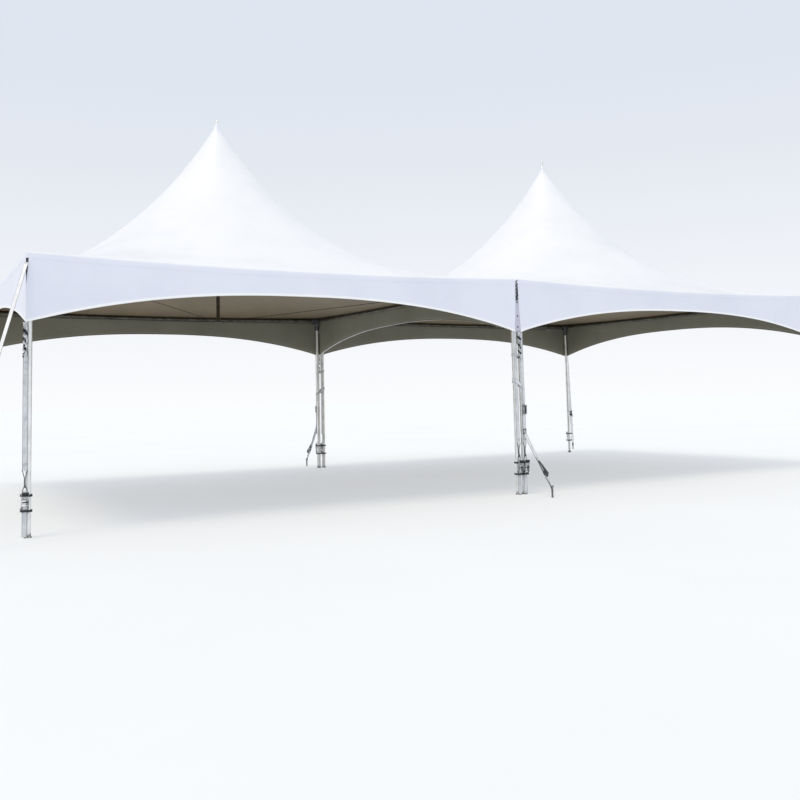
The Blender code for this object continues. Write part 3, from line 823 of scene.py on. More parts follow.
# Valances
# An arched skirt is welded under each eave: 0.3 m deep in the middle and 0.7 m at the legs.
# Its edges are turned up and stitched. It parts from its neighbour at the corners.
VALANCE_REACH = 3.0502
VALANCE_TIP = 2.12
VALANCE_MIDDLE = 2.48
VALANCE_POWER = 2.4
HEM = 0.025
HEM_CUTS = (0.0, 0.0012, HEM - 0.0012, HEM + 0.0015)
VALANCE_COLUMNS = 120
VALANCE_ROWS = 20
EAVE_TOP_DROP = EDGE_ROUNDING - 0.004
OUTER_GAPE = 0.019
OUTER_LAP = 0.0048
OUTER_GAPE_FOOT = 2.50
OUTER_GAPE_HEIGHT = 0.26
INNER_GAPE = 0.030
INNER_GAPE_TOP = 2.78
INNER_GAPE_HEIGHT = 0.66


def column_place(share):
    """The distance along the eave, as a share of the reach, for a column of the cut."""
    column = round((share + 1) / 2 * VALANCE_COLUMNS)
    if column > VALANCE_COLUMNS // 2:
        return -column_place(-share)
    if column < len(HEM_CUTS):
        return -1 + HEM_CUTS[column] / VALANCE_REACH
    start = -1 + HEM_CUTS[-1] / VALANCE_REACH
    part = (column - len(HEM_CUTS) + 1) / (VALANCE_COLUMNS // 2 - len(HEM_CUTS) + 1)
    return start * (1 - part)


def row_place(share, depth):
    """The height above the lower edge for a row of the cut."""
    row = round((share + 1) / 2 * VALANCE_ROWS)
    if row < len(HEM_CUTS):
        return HEM_CUTS[row]
    part = (row - len(HEM_CUTS) + 1) / (VALANCE_ROWS - len(HEM_CUTS) + 1)
    return HEM_CUTS[-1] + (depth - HEM_CUTS[-1]) * part


def valance(ends):
    """The front valance of a bay. At an outer corner it gapes at the top, at an inner one at its foot."""

    def hang(a, b):
        along = column_place(a)
        lower = VALANCE_MIDDLE - (VALANCE_MIDDLE - VALANCE_TIP) * abs(along) ** VALANCE_POWER
        upper = roof_height(along * ROOF_REACH, ROOF_REACH) - EAVE_TOP_DROP
        above = row_place(b, upper - lower)
        height = lower + above
        kind = ends[0] if along < 0 else ends[1]
        if kind == "outer":
            share = clamped((height - OUTER_GAPE_FOOT) / OUTER_GAPE_HEIGHT)
            pull = OUTER_GAPE * share - OUTER_LAP * (1 - share)
        else:
            share = clamped((INNER_GAPE_TOP - height) / INNER_GAPE_HEIGHT)
            pull = INNER_GAPE * share ** 1.4
        x = along * VALANCE_REACH - pull * abs(along) ** 40 * math.copysign(1, along)
        from_end = (1 - abs(along)) * VALANCE_REACH
        hang_share = min(1.0, (upper - height) / max(upper - lower, 0.01))
        fold = 0.0035 * math.exp(-from_end / 0.16) * (1 - math.cos(from_end / 0.055 * math.pi)) / 2
        swell = 0.0045 * math.sin(along * 7.3 + 0.6) ** 2 * hang_share ** 1.5 * (1 - abs(along) ** 12)
        turned_up = 0.0011 if 0.001 < above < HEM or 0.001 < from_end < HEM else 0.0
        out = ROOF_REACH - 0.0006 + (fold + swell) * min(1.0, hang_share * 2) + turned_up
        return Vector((x, -out, height))

    sheet = cloth_grid(VALANCE_COLUMNS, VALANCE_ROWS, hang)
    lay_uv(
        sheet,
        lambda place: (
            place.x + 5,
            place.z - VALANCE_MIDDLE
            + (VALANCE_MIDDLE - VALANCE_TIP) * min(1.0, abs(place.x) / VALANCE_REACH) ** VALANCE_POWER,
        ),
    )
    return give_skin(sheet, upright_cloth_painted_shade, valance_inside)


# The valances' inside faces: the same film with painted shade, a greener grey than the roof's inside.
valance_inside = coated_cloth("olive_grey_pvc_inner_coat", "#7E7C6E", "#706E60", 0.55)
# The flap's outer face: a greyer, lavender white, painted shade for the shadowed slit that it lies in.
cloth_flap = coated_cloth("pvc_flap_painted_slit_shade", "#C4C3D3", "#ABA9BA", 0.5)

for bay in BAYS:
    for side, turns, ends in sides_of(bay):
        piece = moved(valance(ends), bay_turn(bay, turns))
        dress(piece, f"valance_{bay}_{side}", "white_vinyl", f"{bay}_valance_{side}")

# Joining flaps
# Front and back, a narrow strip of the same cloth closes the slit between the two tents. It
# lies behind the valances. Above it the slit is drawn shut by a shock cord, laced zigzag, whose black is
# painted shade for the dark slit.
FLAP_BACK = 3.0526
FLAP_TOP = 2.540
FLAP_FOOT = 2.128
FLAP_TOP_WIDTH = 0.064
FLAP_FOOT_WIDTH = 0.132
EYELET_HEIGHTS = (2.518, 2.335, 2.190)
LACE_RADIUS = 0.0052
LACE_LAY = 0.030
LACE_TOP = 2.815
LACE_PITCH = 0.024
ROWS = {"front": 0, "back": 2}
EYELET = (
    (0.0052, 0.0), (0.0110, 0.0), (0.0113, 0.0008), (0.0090, 0.0016), (0.0056, 0.0010), (0.0052, 0.0),
)


def flap_point(a, b):
    """Where a point of the flap's cut lies: narrower upwards, and puckered a little."""
    height = FLAP_FOOT + (FLAP_TOP - FLAP_FOOT) * (b + 1) / 2
    width = FLAP_FOOT_WIDTH + (FLAP_TOP_WIDTH - FLAP_FOOT_WIDTH) * (b + 1) / 2
    pucker = 0.0005 * math.cos(a * 9.0) * math.sin(b * 6.0)
    return Vector((a * width / 2, -(FLAP_BACK + pucker), height))


def smooth_route(route, step):
    """Points about a step apart on the smooth curve through a route's points."""
    route = [Vector(point) for point in route]
    padded = [route[0] * 2 - route[1], *route, route[-1] * 2 - route[-2]]
    points = [route[0]]
    for before, start, end, after in zip(padded, padded[1:], padded[2:], padded[3:]):
        cuts = max(1, round((end - start).length / step))
        for cut in range(1, cuts + 1):
            t = cut / cuts
            bend = (before * 2 - start * 5 + end * 4 - after) * t * t
            turn_back = (start * 3 - before - end * 3 + after) * t ** 3
            points.append(start + ((end - before) * t + bend + turn_back) / 2)
    return points


def drawn(route, radius, section=None, lay=0.0):
    """A round wire along a route, or a rope where a section is given, turned once for each lay."""
    line = bpy.data.curves.new("route", "CURVE")
    line.dimensions = "3D"
    line.twist_mode = "MINIMUM"
    line.use_fill_caps = True
    if section:
        line.bevel_mode = "OBJECT"
        line.bevel_object = section
    else:
        line.bevel_depth = radius
        line.bevel_resolution = 2
    spline = line.splines.new("POLY")
    spline.points.add(len(route) - 1)
    done = 0.0
    last = route[0]
    for place, point in zip(route, spline.points):
        done += (Vector(place) - Vector(last)).length
        last = place
        point.co = (*place, 1)
        point.tilt = done / lay * 2 * math.pi if lay else 0.0
    obj = bpy.data.objects.new("route", line)
    bpy.context.scene.collection.objects.link(obj)
    hold(obj)
    bpy.ops.object.convert(target="MESH")
    obj = bpy.context.object
    while obj.data.uv_layers:
        obj.data.uv_layers.remove(obj.data.uv_layers[0])
    begin(obj)
    bpy.ops.mesh.select_all(action="SELECT")
    bpy.ops.mesh.remove_doubles(threshold=0.00005)
    close_edit()
    return obj


def mottled(name, dark, light, roughness, scale, detail, strength, depth):
    """A dark skin whose tone and relief both follow one fine noise."""
    finish, tree, surface = new_finish(name, roughness)
    spot = add_node(tree, "ShaderNodeTexCoord").outputs["Object"]
    noise = add_node(tree, "ShaderNodeTexNoise", {"Vector": spot, "Scale": scale, "Detail": detail})
    speckle = noise.outputs["Fac"]
    tone = add_node(tree, "ShaderNodeMix", {0: speckle, 6: colour(dark), 7: colour(light)}, data_type="RGBA")
    tree.links.new(tone.outputs[2], surface.inputs["Base Color"])
    relief = add_node(tree, "ShaderNodeBump", {"Height": speckle, "Strength": strength, "Distance": depth})
    tree.links.new(relief.outputs["Normal"], surface.inputs["Normal"])
    return finish


flap = cloth_grid(16, 60, flap_point)
lay_uv(flap, lambda place: (place.z, place.x + 0.5))
give_skin(flap, cloth_flap, valance_inside)
rims = []
for height in EYELET_HEIGHTS:
    rims.append(moved(turned(EYELET, 20), Matrix.Translation((0.002, -FLAP_BACK - 0.0004, height)) @ upright))
eyelets = joined(*rims)
settle(eyelets)
# Eyelets of nickelled brass, dark grey, darker in random patches.
brass = metal("dark_nickelled_brass", "#55544F", "#2E2C28", 0.4, (200, 200, 200), 60.0, 0.0003)
finished(eyelets, brass)

lace_outline = bpy.data.curves.new("lace_section", "CURVE")
lace_outline.dimensions = "2D"
lobes = lace_outline.splines.new("POLY")
lobes.points.add(11)
for number, point in enumerate(lobes.points):
    angle = number * math.pi / 6
    reach = LACE_RADIUS * (0.88 + 0.12 * math.cos(3 * angle))
    point.co = (reach * math.cos(angle), reach * math.sin(angle), 0, 1)
lobes.use_cyclic_u = True
lace_section = bpy.data.objects.new("lace_section", lace_outline)
bpy.context.scene.collection.objects.link(lace_section)
zigzag = []
for number in range(12):
    side = -1 if number % 2 else 1
    height = LACE_TOP - number * LACE_PITCH
    zigzag.append((side * 0.0105, -FLAP_BACK - 0.0062, height))
    zigzag.append((side * 0.0175, -FLAP_BACK - 0.0022, height - LACE_PITCH * 0.35))
    zigzag.append((side * 0.0105, -FLAP_BACK + 0.0016, height - LACE_PITCH * 0.6))
shock_cord = drawn(smooth_route(zigzag, 0.004), LACE_RADIUS, lace_section, LACE_LAY)
settle(shock_cord, 60)
bpy.data.objects.remove(lace_section)
# Elastic shock cord: a dull braided sleeve, near black with charcoal speckle at random. Its black is painted
# shade for the dark slit and for the gaps of the twisted lashings.
slit_shade_black = mottled("black_cord_painted_slit_shade", "#0E0E12", "#26262C", 0.85, 400.0, 2.0, 0.4, 0.0005)
finished(shock_cord, slit_shade_black)
for row, turns in ROWS.items():
    around = Matrix.Rotation(turns * QUARTER, 4, "Z")
    piece = dress(another(flap, around), f"joining_flap_{row}", "white_vinyl")
    dress(another(eyelets, around), f"flap_eyelets_{row}", "steel_cable")
    dress(another(shock_cord, around), f"slit_lacing_{row}", "steel_cable")
for spare in (flap, eyelets, shock_cord):
    bpy.data.objects.remove(spare)

# Lashings
# From the valances' tips a length of the same webbing as the straps runs down beside each outer
# leg and between the twin legs, twisted on itself and hitched. The slit's black cord is wound round
# it, its black painted shade in the gaps of the twist. Both are held all the way.
WEBBING_WIDTH = 0.050
WEBBING_THICKNESS = 0.0024
STRAP_LINE = 0.0317
STRAP_OUT = 0.036
HALF_TWIN = 0.050
TWIST_TOP = 2.119
TWIST_FOOT = 1.768


def woven(name, light, worn, edge, roughness, ridge, pitch):
    """Woven polyester: twill ridges across the cut, greyed edges, and grime in soft patches."""
    finish, tree, surface = new_finish(name, roughness)
    cut = add_node(tree, "ShaderNodeTexCoord").outputs["UV"]
    spot = add_node(tree, "ShaderNodeTexCoord").outputs["Object"]
    grime = add_node(
        tree, "ShaderNodeTexNoise", {"Vector": spot, "Scale": 11.0, "Detail": 7.0, "Roughness": 0.65}
    )
    tone = two_toned(tree, grime.outputs["Fac"], 0.40, 0.75, light, worn)
    parts = add_node(tree, "ShaderNodeSeparateXYZ", {"Vector": cut})
    from_middle = add_node(tree, "ShaderNodeMath", {0: parts.outputs["X"]}, operation="ABSOLUTE")
    selvedge = add_node(
        tree, "ShaderNodeMapRange", {"Value": from_middle.outputs[0], "From Min": 0.0205, "From Max": 0.0222}
    )
    edged = add_node(
        tree, "ShaderNodeMix", {0: selvedge.outputs[0], 6: tone, 7: colour(edge)}, data_type="RGBA"
    )
    tree.links.new(edged.outputs[2], surface.inputs["Base Color"])
    ridges = {"Vector": cut, "Scale": 1 / pitch / WAVE_BANDS}
    ribs = add_node(tree, "ShaderNodeTexWave", ridges, bands_direction="DIAGONAL")
    relief = add_node(
        tree, "ShaderNodeBump", {"Height": ribs.outputs["Fac"], "Strength": 0.5, "Distance": ridge}
    )
    tree.links.new(relief.outputs["Normal"], surface.inputs["Normal"])
    surface.inputs["Sheen Weight"].default_value = 0.25
    surface.inputs["Sheen Roughness"].default_value = 0.45
    return finish


# Woven polyester strap: white with painted grey shade, greyer in random grime patches, with darker selvedges
# and a fine twill.
# The twill's ridges are 1.6 mm apart. They are drawn at 3 mm.
painted_shade_strap = woven("woven_polyester_strap", "#DCDEE2", "#B4B7BB", "#777B80", 0.75, 0.0005, 0.003)


def webbing(route, width=WEBBING_WIDTH, across=(1, 0, 0), longest=0.05, twist=0.0):
    """A strap along a route, flat across a direction or twisted, with a UV map across and along."""
    stations = [Vector(route[0])]
    for point in route[1:]:
        start = stations[-1]
        cuts = max(1, math.ceil((Vector(point) - start).length / longest))
        stations += [start.lerp(Vector(point), cut / cuts) for cut in range(1, cuts + 1)]
    bpy.ops.object.select_all(action="DESELECT")
    last = len(stations) - 1
    bpy.ops.mesh.primitive_grid_add(x_subdivisions=6, y_subdivisions=last, size=2, calc_uvs=False)
    strap = bpy.context.object
    done = [0.0]
    for start, end in zip(stations, stations[1:]):
        done.append(done[-1] + (end - start).length)
    flat = []
    places = []
    for point in strap.data.vertices:
        number = round((point.co.y + 1) / 2 * last)
        run = (stations[min(number + 1, last)] - stations[max(number - 1, 0)]).normalized()
        side = (Vector(across) - run * run.dot(Vector(across))).normalized()
        side = Matrix.Rotation(twist * done[number] / done[-1], 3, run) @ side
        flat.append((point.co.x * WEBBING_WIDTH / 2, done[number]))
        places.append(stations[number] + side * (point.co.x * width / 2))
    layer = strap.data.uv_layers.new(name="cut")
    for corner in strap.data.loops:
        layer.data[corner.index].uv = flat[corner.vertex_index]
    for point, place in zip(strap.data.vertices, places):
        point.co = place
    return apply_steps(
        finished(strap, painted_shade_strap),
        ("SOLIDIFY", {"thickness": WEBBING_THICKNESS, "offset": 0.0}),
        ("BEVEL", {"width": 0.0005, "segments": 1, "limit_method": "ANGLE", "angle_limit": math.radians(60)}),
    )


def hitch(x, y, height, size=0.0155):
    """Two turns of strap that cross over the twisted length, and a short end that hangs from them."""
    parts = []
    for lean in (0.85, -0.70):
        ring = []
        for step in range(21):
            angle = step / 20 * 2 * math.pi
            aside = size * math.cos(angle)
            ring.append(Vector((x + aside, y + size * 0.8 * math.sin(angle), height + lean * aside)))
        parts.append(webbing(ring, 0.020, (0, 0, 1)))
    knot = Vector((x + size * 0.5, y - size * 0.85, height))
    loose_end = Vector((x + size * 0.8, y - size * 0.9, height - 0.062))
    parts.append(webbing([knot, loose_end], 0.024, (1, 0, 0), 0.01, 0.9))
    return joined(*parts)


def around_twin_legs(height, slant, back, front, steps=48):
    """A closed route round both of the twin legs, lower by the slant for each metre to the right."""
    route = []
    for step in range(steps + 1):
        angle = QUARTER + step / steps * 2 * math.pi
        depth = front if math.sin(angle) < 0 else back
        aside = math.cos(angle)
        x = math.copysign(HALF_TWIN * min(1.0, abs(aside) * 8), aside) + back * aside
        route.append(Vector((x, depth * math.sin(angle), height - slant * x)))
    return route


def wound_cord(x, y, top, foot, turns, reach):
    """The tail of the slit's black shock cord, in three strands, wound round a twisted strap as painted shade
    in its gaps.
    """
    strands = []
    steps = round(turns * 12)
    for drop in (0.0, 2.1 * LACE_RADIUS, 4.2 * LACE_RADIUS):
        route = []
        for step in range(steps + 1):
            angle = step / 12 * 2 * math.pi
            swell = reach * (1 + 0.22 * math.sin(angle * 0.37))
            height = top - drop + (foot - top) * step / steps
            route.append(Vector((x + swell * math.cos(angle), y + swell * math.sin(angle) * 0.8, height)))
        strands.append(drawn(smooth_route(route, 0.006), LACE_RADIUS))
    return finished(joined(*strands), slit_shade_black)


def at_twin_legs(turns):
    """The matrix that sets a piece at the front twin legs, or at the back ones after two quarter turns."""
    return Matrix.Rotation(turns * QUARTER, 4, "Z") @ Matrix.Translation((0, -LEG_REACH, 0))


outer_y = -STRAP_LINE - 0.0115
outer_lashing = joined(
    webbing([(0, outer_y, TWIST_TOP), (0, outer_y, TWIST_FOOT)], 0.048, (1, 0, 0), 0.008, 5.2 * math.pi),
    hitch(0, outer_y, 2.098, 0.0165), hitch(0.001, outer_y, 1.975), hitch(-0.001, outer_y, 1.850, 0.0150),
    wound_cord(0, outer_y, 2.100, 1.790, 3.6, 0.0150),
)
settle(outer_lashing, 50)
middle_y = -STRAP_LINE - 0.0220
middle_lashing = joined(
    webbing(
        [(0.002, middle_y, TWIST_TOP), (0.002, middle_y + 0.002, 1.800)],
        0.052, (1, 0, 0), 0.008, 4.3 * math.pi,
    ),
    hitch(0.003, middle_y, 2.092, 0.0200), hitch(0.006, middle_y, 2.010, 0.0230),
    hitch(0.002, middle_y, 1.832, 0.0180),
    webbing(around_twin_legs(1.800, 0.35, 0.0340, 0.0348), 0.026, (0, 0, 1)),
    wound_cord(0.004, middle_y, 2.110, 1.800, 3.3, 0.0185),
)
settle(middle_lashing, 50)


def strap_places():
    """Each leg's strap: bay, corner, outward side (0 on the twin legs), and the matrix from its own place."""
    for bay in BAYS:
        for corner, stand, turns in corners_of(bay):
            back = corner.startswith("back")
            outward = 0 if corner.endswith("inner") else BAYS[bay] * (-1 if back else 1)
            turn = Matrix.Rotation(math.pi if back else 0.0, 4, "Z")
            yield bay, corner, outward, Matrix.Translation(stand) @ turn


for bay, corner, outward, stand in strap_places():
    if outward:
        piece = another(outer_lashing, stand @ Matrix.Translation((outward * (STRAP_OUT + 0.008), 0, 0)))
        dress(piece, f"lashing_{bay}_{corner}", "white_webbing")
for row, turns in ROWS.items():
    dress(another(middle_lashing, at_twin_legs(turns)), f"lashing_twin_legs_{row}", "white_webbing")
for spare in (outer_lashing, middle_lashing):
    bpy.data.objects.remove(spare)

# Tension straps
# Woven polyester strap, 50 mm wide, comes down each leg to a steel claw hook. The hook holds the
# link of a zinc-plated ratchet, which two black steel bands hold to the leg.
RATCHET_MIDDLE = 0.350
RATCHET_HALF = 0.090
RATCHET_WIDTH = 0.066
BOLT_PLACE = 0.078
SPOOL_PLACE = -0.055
SPOOL_DEPTH = 0.0140
WIRE = 0.0038
LEG_FACE = 0.0305
BAND_HEIGHTS = (0.414, 0.266)
BAND_BOLT = (0.0050, 0.0050, 0.004)


def arc(y, z, radius, start, end, steps=8):
    """Points (0, y, z) on an arc about a middle. Angles are in degrees, from +Y towards +Z."""
    points = []
    for step in range(steps + 1):
        angle = math.radians(start + (end - start) * step / steps)
        points.append(Vector((0, y + radius * math.cos(angle), z + radius * math.sin(angle))))
    return points


def tack(y, z, width=0.040):
    """Three rows of zigzag stitching across a strap, where its end is sewn back."""
    rows = [block((width, 0.0009, 0.0022), (0, y, z + shift), 0.0004) for shift in (-0.010, 0.0, 0.010)]
    return finished(joined(*rows), thread_finish)


# Bonded grey thread: dull, and darker than the strap that it is sewn through.
thread_finish = woven("bonded_polyester_thread", "#8D9094", "#6E7175", "#8D9094", 0.7, 0.0002, 0.001)
# Zinc-plated pressed steel: bright bluish grey with cloudy dull patches where the zinc has gone.
zinc_plate = metal("zinc_plated_steel", "#C6C8CA", "#6F7173", 0.34, (60, 60, 60), 70.0, 0.0004)
# The claw hooks' wire: the same plating, gone dull and dark with handling.
dull_zinc = metal("dulled_zinc_plated_wire", "#6E7072", "#434547", 0.5, (60, 60, 60), 70.0, 0.0004)
# Black stoved enamel on steel: near black, satin, worn a little paler at random.
black_enamel = mottled("black_enamelled_steel", "#141517", "#34363A", 0.42, 90.0, 5.0, 0.3, 0.0003)


def crosswise(stations, y, z, sides=16):
    """A turned pin that lies across the ratchet, through a place in its side view."""
    return moved(turned(stations, sides), Matrix.Translation((0, y, z)) @ Matrix.Rotation(QUARTER, 4, "Y"))


def pin(half, radius, y, z, sides=16):
    """A plain pin across the ratchet, eased at both ends."""
    stations = ((radius * 0.8, -half), (radius, -half + 0.001), (radius, half - 0.001), (radius * 0.8, half))
    return crosswise(stations, y, z, sides)


def plate(size, middle, corner):
    """A flat side plate: a thin blank whose four upright corners are rounded off."""
    blank = block(size, middle)
    begin(blank)
    pick(blank, "EDGE", lambda place, edge: abs(place.x - middle[0]) < 0.0001)
    bpy.ops.mesh.bevel(offset=corner, segments=4, affect="EDGES")
    bpy.ops.object.mode_set(mode="OBJECT")
    return blank


def toothed_wheel(x, teeth=13):
    """A ratchet wheel: a disc with every second point of its rim drawn in to make the teeth."""
    wheel = crosswise(((0.0172, x - 0.0013), (0.0172, x + 0.0013)), -SPOOL_DEPTH, SPOOL_PLACE, teeth * 2)
    begin(wheel)
    step = math.pi / teeth
    pick(
        wheel, "VERT",
        lambda place, point: round(math.atan2(place.z - SPOOL_PLACE, place.y + SPOOL_DEPTH) / step) % 2 == 1,
    )
    bpy.ops.transform.resize(value=(1, 0.80, 0.80), center_override=(x, -SPOOL_DEPTH, SPOOL_PLACE))
    close_edit()
    return wheel


def riveted_handle(reach=0.146):
    """The short handle of a leg's ratchet: two rails under a cover, with a black grip and black cams."""
    parts = []
    for side in (-1, 1):
        rail = (0.0022, 0.0210, reach + 0.010)
        middle = (side * 0.0330, -0.0270, SPOOL_PLACE + reach / 2)
        parts.append(finished(plate(rail, middle, 0.0090), zinc_plate))
        cam = ((0.0160, side * 0.0330 - 0.0012), (0.0160, side * 0.0330 + 0.0012))
        parts.append(finished(crosswise(cam, -SPOOL_DEPTH, SPOOL_PLACE, 24), black_enamel))
    cover = block((0.0640, 0.0022, reach * 0.26), (0, -0.0370, SPOOL_PLACE + reach * 0.68), 0.0008)
    spring = block((0.0560, 0.0060, 0.0130), (0, -0.0330, SPOOL_PLACE + reach * 0.40), 0.0012)
    grip = pin(0.0335, 0.0108, -0.0310, SPOOL_PLACE + reach)
    return [*parts, finished(cover, zinc_plate), finished(spring, black_enamel), finished(grip, black_enamel)]


def pressed_handle(reach=0.215, deep=0.052):
    """The long handle of a guy's ratchet: a pressed channel, deep over the spool and slim at its grip."""
    start = SPOOL_PLACE - 0.022
    channel = block((0.0700, deep, reach), (0, -0.004 - deep / 2, start + reach / 2))
    begin(channel)
    pick(channel, "EDGE", lambda middle, edge: edge.calc_length() > reach * 0.9)
    bpy.ops.mesh.subdivide(number_cuts=9)
    pick(channel, "FACE", lambda middle, face: face.normal.y > 0.9)
    bpy.ops.mesh.delete(type="FACE")
    bpy.ops.object.mode_set(mode="OBJECT")
    for point in channel.data.vertices:
        share = (point.co.z - start) / reach
        depth = min(1.02 - 0.76 * share ** 0.9, 0.45 + 4.2 * share)
        point.co.x *= 1 - 0.42 * share
        point.co.y = -0.004 + (point.co.y + 0.004) * depth
    apply_steps(
        channel,
        ("BEVEL", {"width": 0.005, "segments": 2, "limit_method": "ANGLE", "angle_limit": math.radians(60)}),
        ("SOLIDIFY", {"thickness": 0.0022, "offset": -1.0}),
    )
    grip = pin(0.0215, 0.0080, -0.0115, start + reach - 0.004)
    return [finished(channel, black_enamel), finished(grip, black_enamel)]


def ratchet(swing, lever):
    """A ratchet up the Z axis, its strap at y = 0, with its handle swung out by an angle in degrees."""
    steel = []
    for side in (-1, 1):
        steel.append(plate((0.0024, 0.0270, 2 * RATCHET_HALF), (side * 0.0302, -0.0140, 0), 0.0115))
        steel.append(toothed_wheel(side * 0.0270))
    steel.append(pin(0.0385, 0.0052, -SPOOL_DEPTH, BOLT_PLACE))
    steel.append(pin(0.0400, 0.0060, -SPOOL_DEPTH, SPOOL_PLACE))
    for x in (-0.0385, 0.0385):
        steel.append(crosswise(((0.0078, x - 0.0022), (0.0078, x + 0.0022)), -SPOOL_DEPTH, BOLT_PLACE, 6))
    steel.append(block((0.0580, 0.0024, 0.0260), (0, -0.0035, 0.030), 0.0008))
    steel.append(block((0.0520, 0.0150, 0.0030), (0, -0.0120, -0.022), 0.0008))
    around = Matrix.Translation((0, -SPOOL_DEPTH, SPOOL_PLACE)) @ Matrix.Rotation(math.radians(swing), 4, "X")
    around = around @ Matrix.Translation((0, SPOOL_DEPTH, -SPOOL_PLACE))
    for part in lever:
        moved(part, around)
    for part in steel:
        finished(part, zinc_plate)
    return joined(*steel, *lever)


def wound_strap(tail, eye=False):
    """The strap's roll on the spool, and its tail down from the spool's back to its end or its eye."""
    route = []
    steps = 56
    for step in range(steps + 1):
        share = step / steps
        angle = math.radians(360 * 2.5 * (share - 1))
        radius = 0.0065 + 0.0075 * share
        depth = -SPOOL_DEPTH + radius * math.cos(angle)
        route.append(Vector((0, depth, SPOOL_PLACE - radius * math.sin(angle))))
    if eye:
        bar = arc(-0.0070, -tail, 0.0054, 0, -180, 8)
        route += [Vector((0, 0, -tail + 0.030)), *bar, Vector((0, -0.0030, -tail + 0.040))]
    else:
        route.append(Vector((0, 0, -tail)))
    return webbing(route, 0.048)


def fixed_end(reach):
    """The short strap from the ratchet's bolt out to a wire link, as a sewn loop at each end."""
    bolt = arc(-SPOOL_DEPTH, BOLT_PLACE, 0.0068, 180, 360, 8)
    link = arc(-0.0075, BOLT_PLACE + reach, 0.0048, 0, 180, 8)
    return webbing([*bolt, *link, bolt[0]], 0.046)


def bolted_strap(length, twist):
    """A strap that is sewn round the ratchet's bolt and runs on up the Z axis, twisted by some degrees."""
    bolt = arc(-SPOOL_DEPTH, BOLT_PLACE, 0.0068, 180, 360, 8)
    folded = [Vector((0, -0.0027, BOLT_PLACE + 0.125)), Vector((0, -0.0027, BOLT_PLACE + 0.075))]
    onward = [Vector((0, 0, BOLT_PLACE + 0.080)), Vector((0, 0, length))]
    run = webbing([*folded, *bolt, *onward], 0.046, twist=math.radians(twist))
    return joined(run, tack(-0.0044, BOLT_PLACE + 0.100))


def both_sides(half):
    """A bent wire's route: its left half as given, and then back along the mirror image of it."""
    return [*half, *((-x, y, z) for x, y, z in reversed(half))]


def claw(foot):
    """A wire claw hook above a height, and the triangular link that it holds below it."""
    half = 0.0240
    upper = foot + 0.165
    hook = [
        (-0.0045, -0.0210, foot + 0.020), (-0.0045, -0.0215, foot + 0.006), (-0.0045, -0.0170, foot - 0.003),
        (-0.0045, -0.0110, foot - 0.003), (-0.0045, -0.0070, foot + 0.008), (-0.0045, -0.0062, foot + 0.080),
        (-0.0080, -0.0060, foot + 0.105), (-half + 0.003, -0.0057, upper - 0.010),
        (-half + 0.001, -0.0057, upper),
    ]
    hook_wire = drawn(smooth_route(both_sides(hook), 0.006), WIRE)
    top = foot + 0.010
    base = foot - 0.046
    link = [
        (-0.0030, -0.0130, top), (-0.0080, -0.0120, top - 0.008), (-0.0225, -0.0078, base + 0.010),
        (-half, -0.0075, base + 0.003), (-0.0200, -0.0075, base),
    ]
    link_wire = drawn(smooth_route([*both_sides(link), link[0]], 0.006), WIRE)
    return finished(joined(hook_wire, link_wire), dull_zinc)


def hanging_strap(top, eye):
    """The long strap: a sewn eye at the claw hook, and at its top an eye for the rope or a plain end."""
    lower = arc(-0.0057, 0.6610, 0.0057, 0, -180, 8)
    route = [*lower, Vector((0, -0.0029, 0.690)), Vector((0, -0.0027, 0.742))]
    if eye:
        upper = arc(-0.0057, top - 0.0057, 0.0057, 180, 0, 8)
        route = [Vector((0, -0.0027, top - 0.085)), Vector((0, -0.0029, top - 0.035)), *upper, *route]
        sewn = [tack(-0.0044, 0.714), tack(-0.0044, top - 0.060)]
    else:
        route = [Vector((0, 0, top)), *route]
        sewn = [tack(-0.0044, 0.714)]
    return joined(webbing(route), *sewn)


def leg_band(height, low, high):
    """A flat steel band with rounded corners round the leg and the ratchet, with its joint bolt."""
    size = (high[0] - low[0], high[1] - low[1], 0.022)
    band = block(size, ((low[0] + high[0]) / 2, (low[1] + high[1]) / 2, height))
    begin(band)
    pick(band, "EDGE", lambda place, edge: abs(place.z - height) < 0.001)
    bpy.ops.mesh.bevel(offset=0.012, segments=5, affect="EDGES")
    pick(band, "FACE", lambda place, face: abs(face.normal.z) > 0.9)
    bpy.ops.mesh.delete(type="FACE")
    close_edit()
    apply_steps(band, ("SOLIDIFY", {"thickness": 0.003, "offset": -1.0}))
    bolt = moved(hex_bolt(*BAND_BOLT), Matrix.Translation((0, low[1] + 0.001, height)) @ upright)
    return finished(joined(band, bolt), black_enamel)


for outward in (-1, 0, 1):
    line = Matrix.Translation((outward * STRAP_OUT, -STRAP_LINE, 0))
    at_ratchet = line @ Matrix.Translation((0, 0, RATCHET_MIDDLE))
    strap = moved(hanging_strap(1.776, True) if outward else hanging_strap(2.300, False), line)
    strap = joined(
        strap, moved(wound_strap(RATCHET_MIDDLE - 0.012), at_ratchet), moved(fixed_end(0.024), at_ratchet)
    )
    settle(strap, 50)
    reach = RATCHET_WIDTH / 2 + 0.0043
    low = (min(-LEG_FACE - 0.004, outward * STRAP_OUT - reach), -0.0650)
    high = (max(LEG_FACE + 0.004, outward * STRAP_OUT + reach), LEG_FACE + 0.004)
    body = joined(
        moved(ratchet(8.0, riveted_handle()), at_ratchet), moved(claw(0.496), line),
        *[leg_band(height, low, high) for height in BAND_HEIGHTS],
    )
    settle(body, 35)
    for bay, corner, way, stand in strap_places():
        if way == outward:
            node = f"{bay}_tension_strap_{corner}"
            dress(another(strap, stand), f"strap_webbing_{bay}_{corner}", "white_webbing", node)
            dress(another(body, stand), f"strap_ratchet_{bay}_{corner}", "steel_cable", node)
    for spare in (strap, body):
        bpy.data.objects.remove(spare)

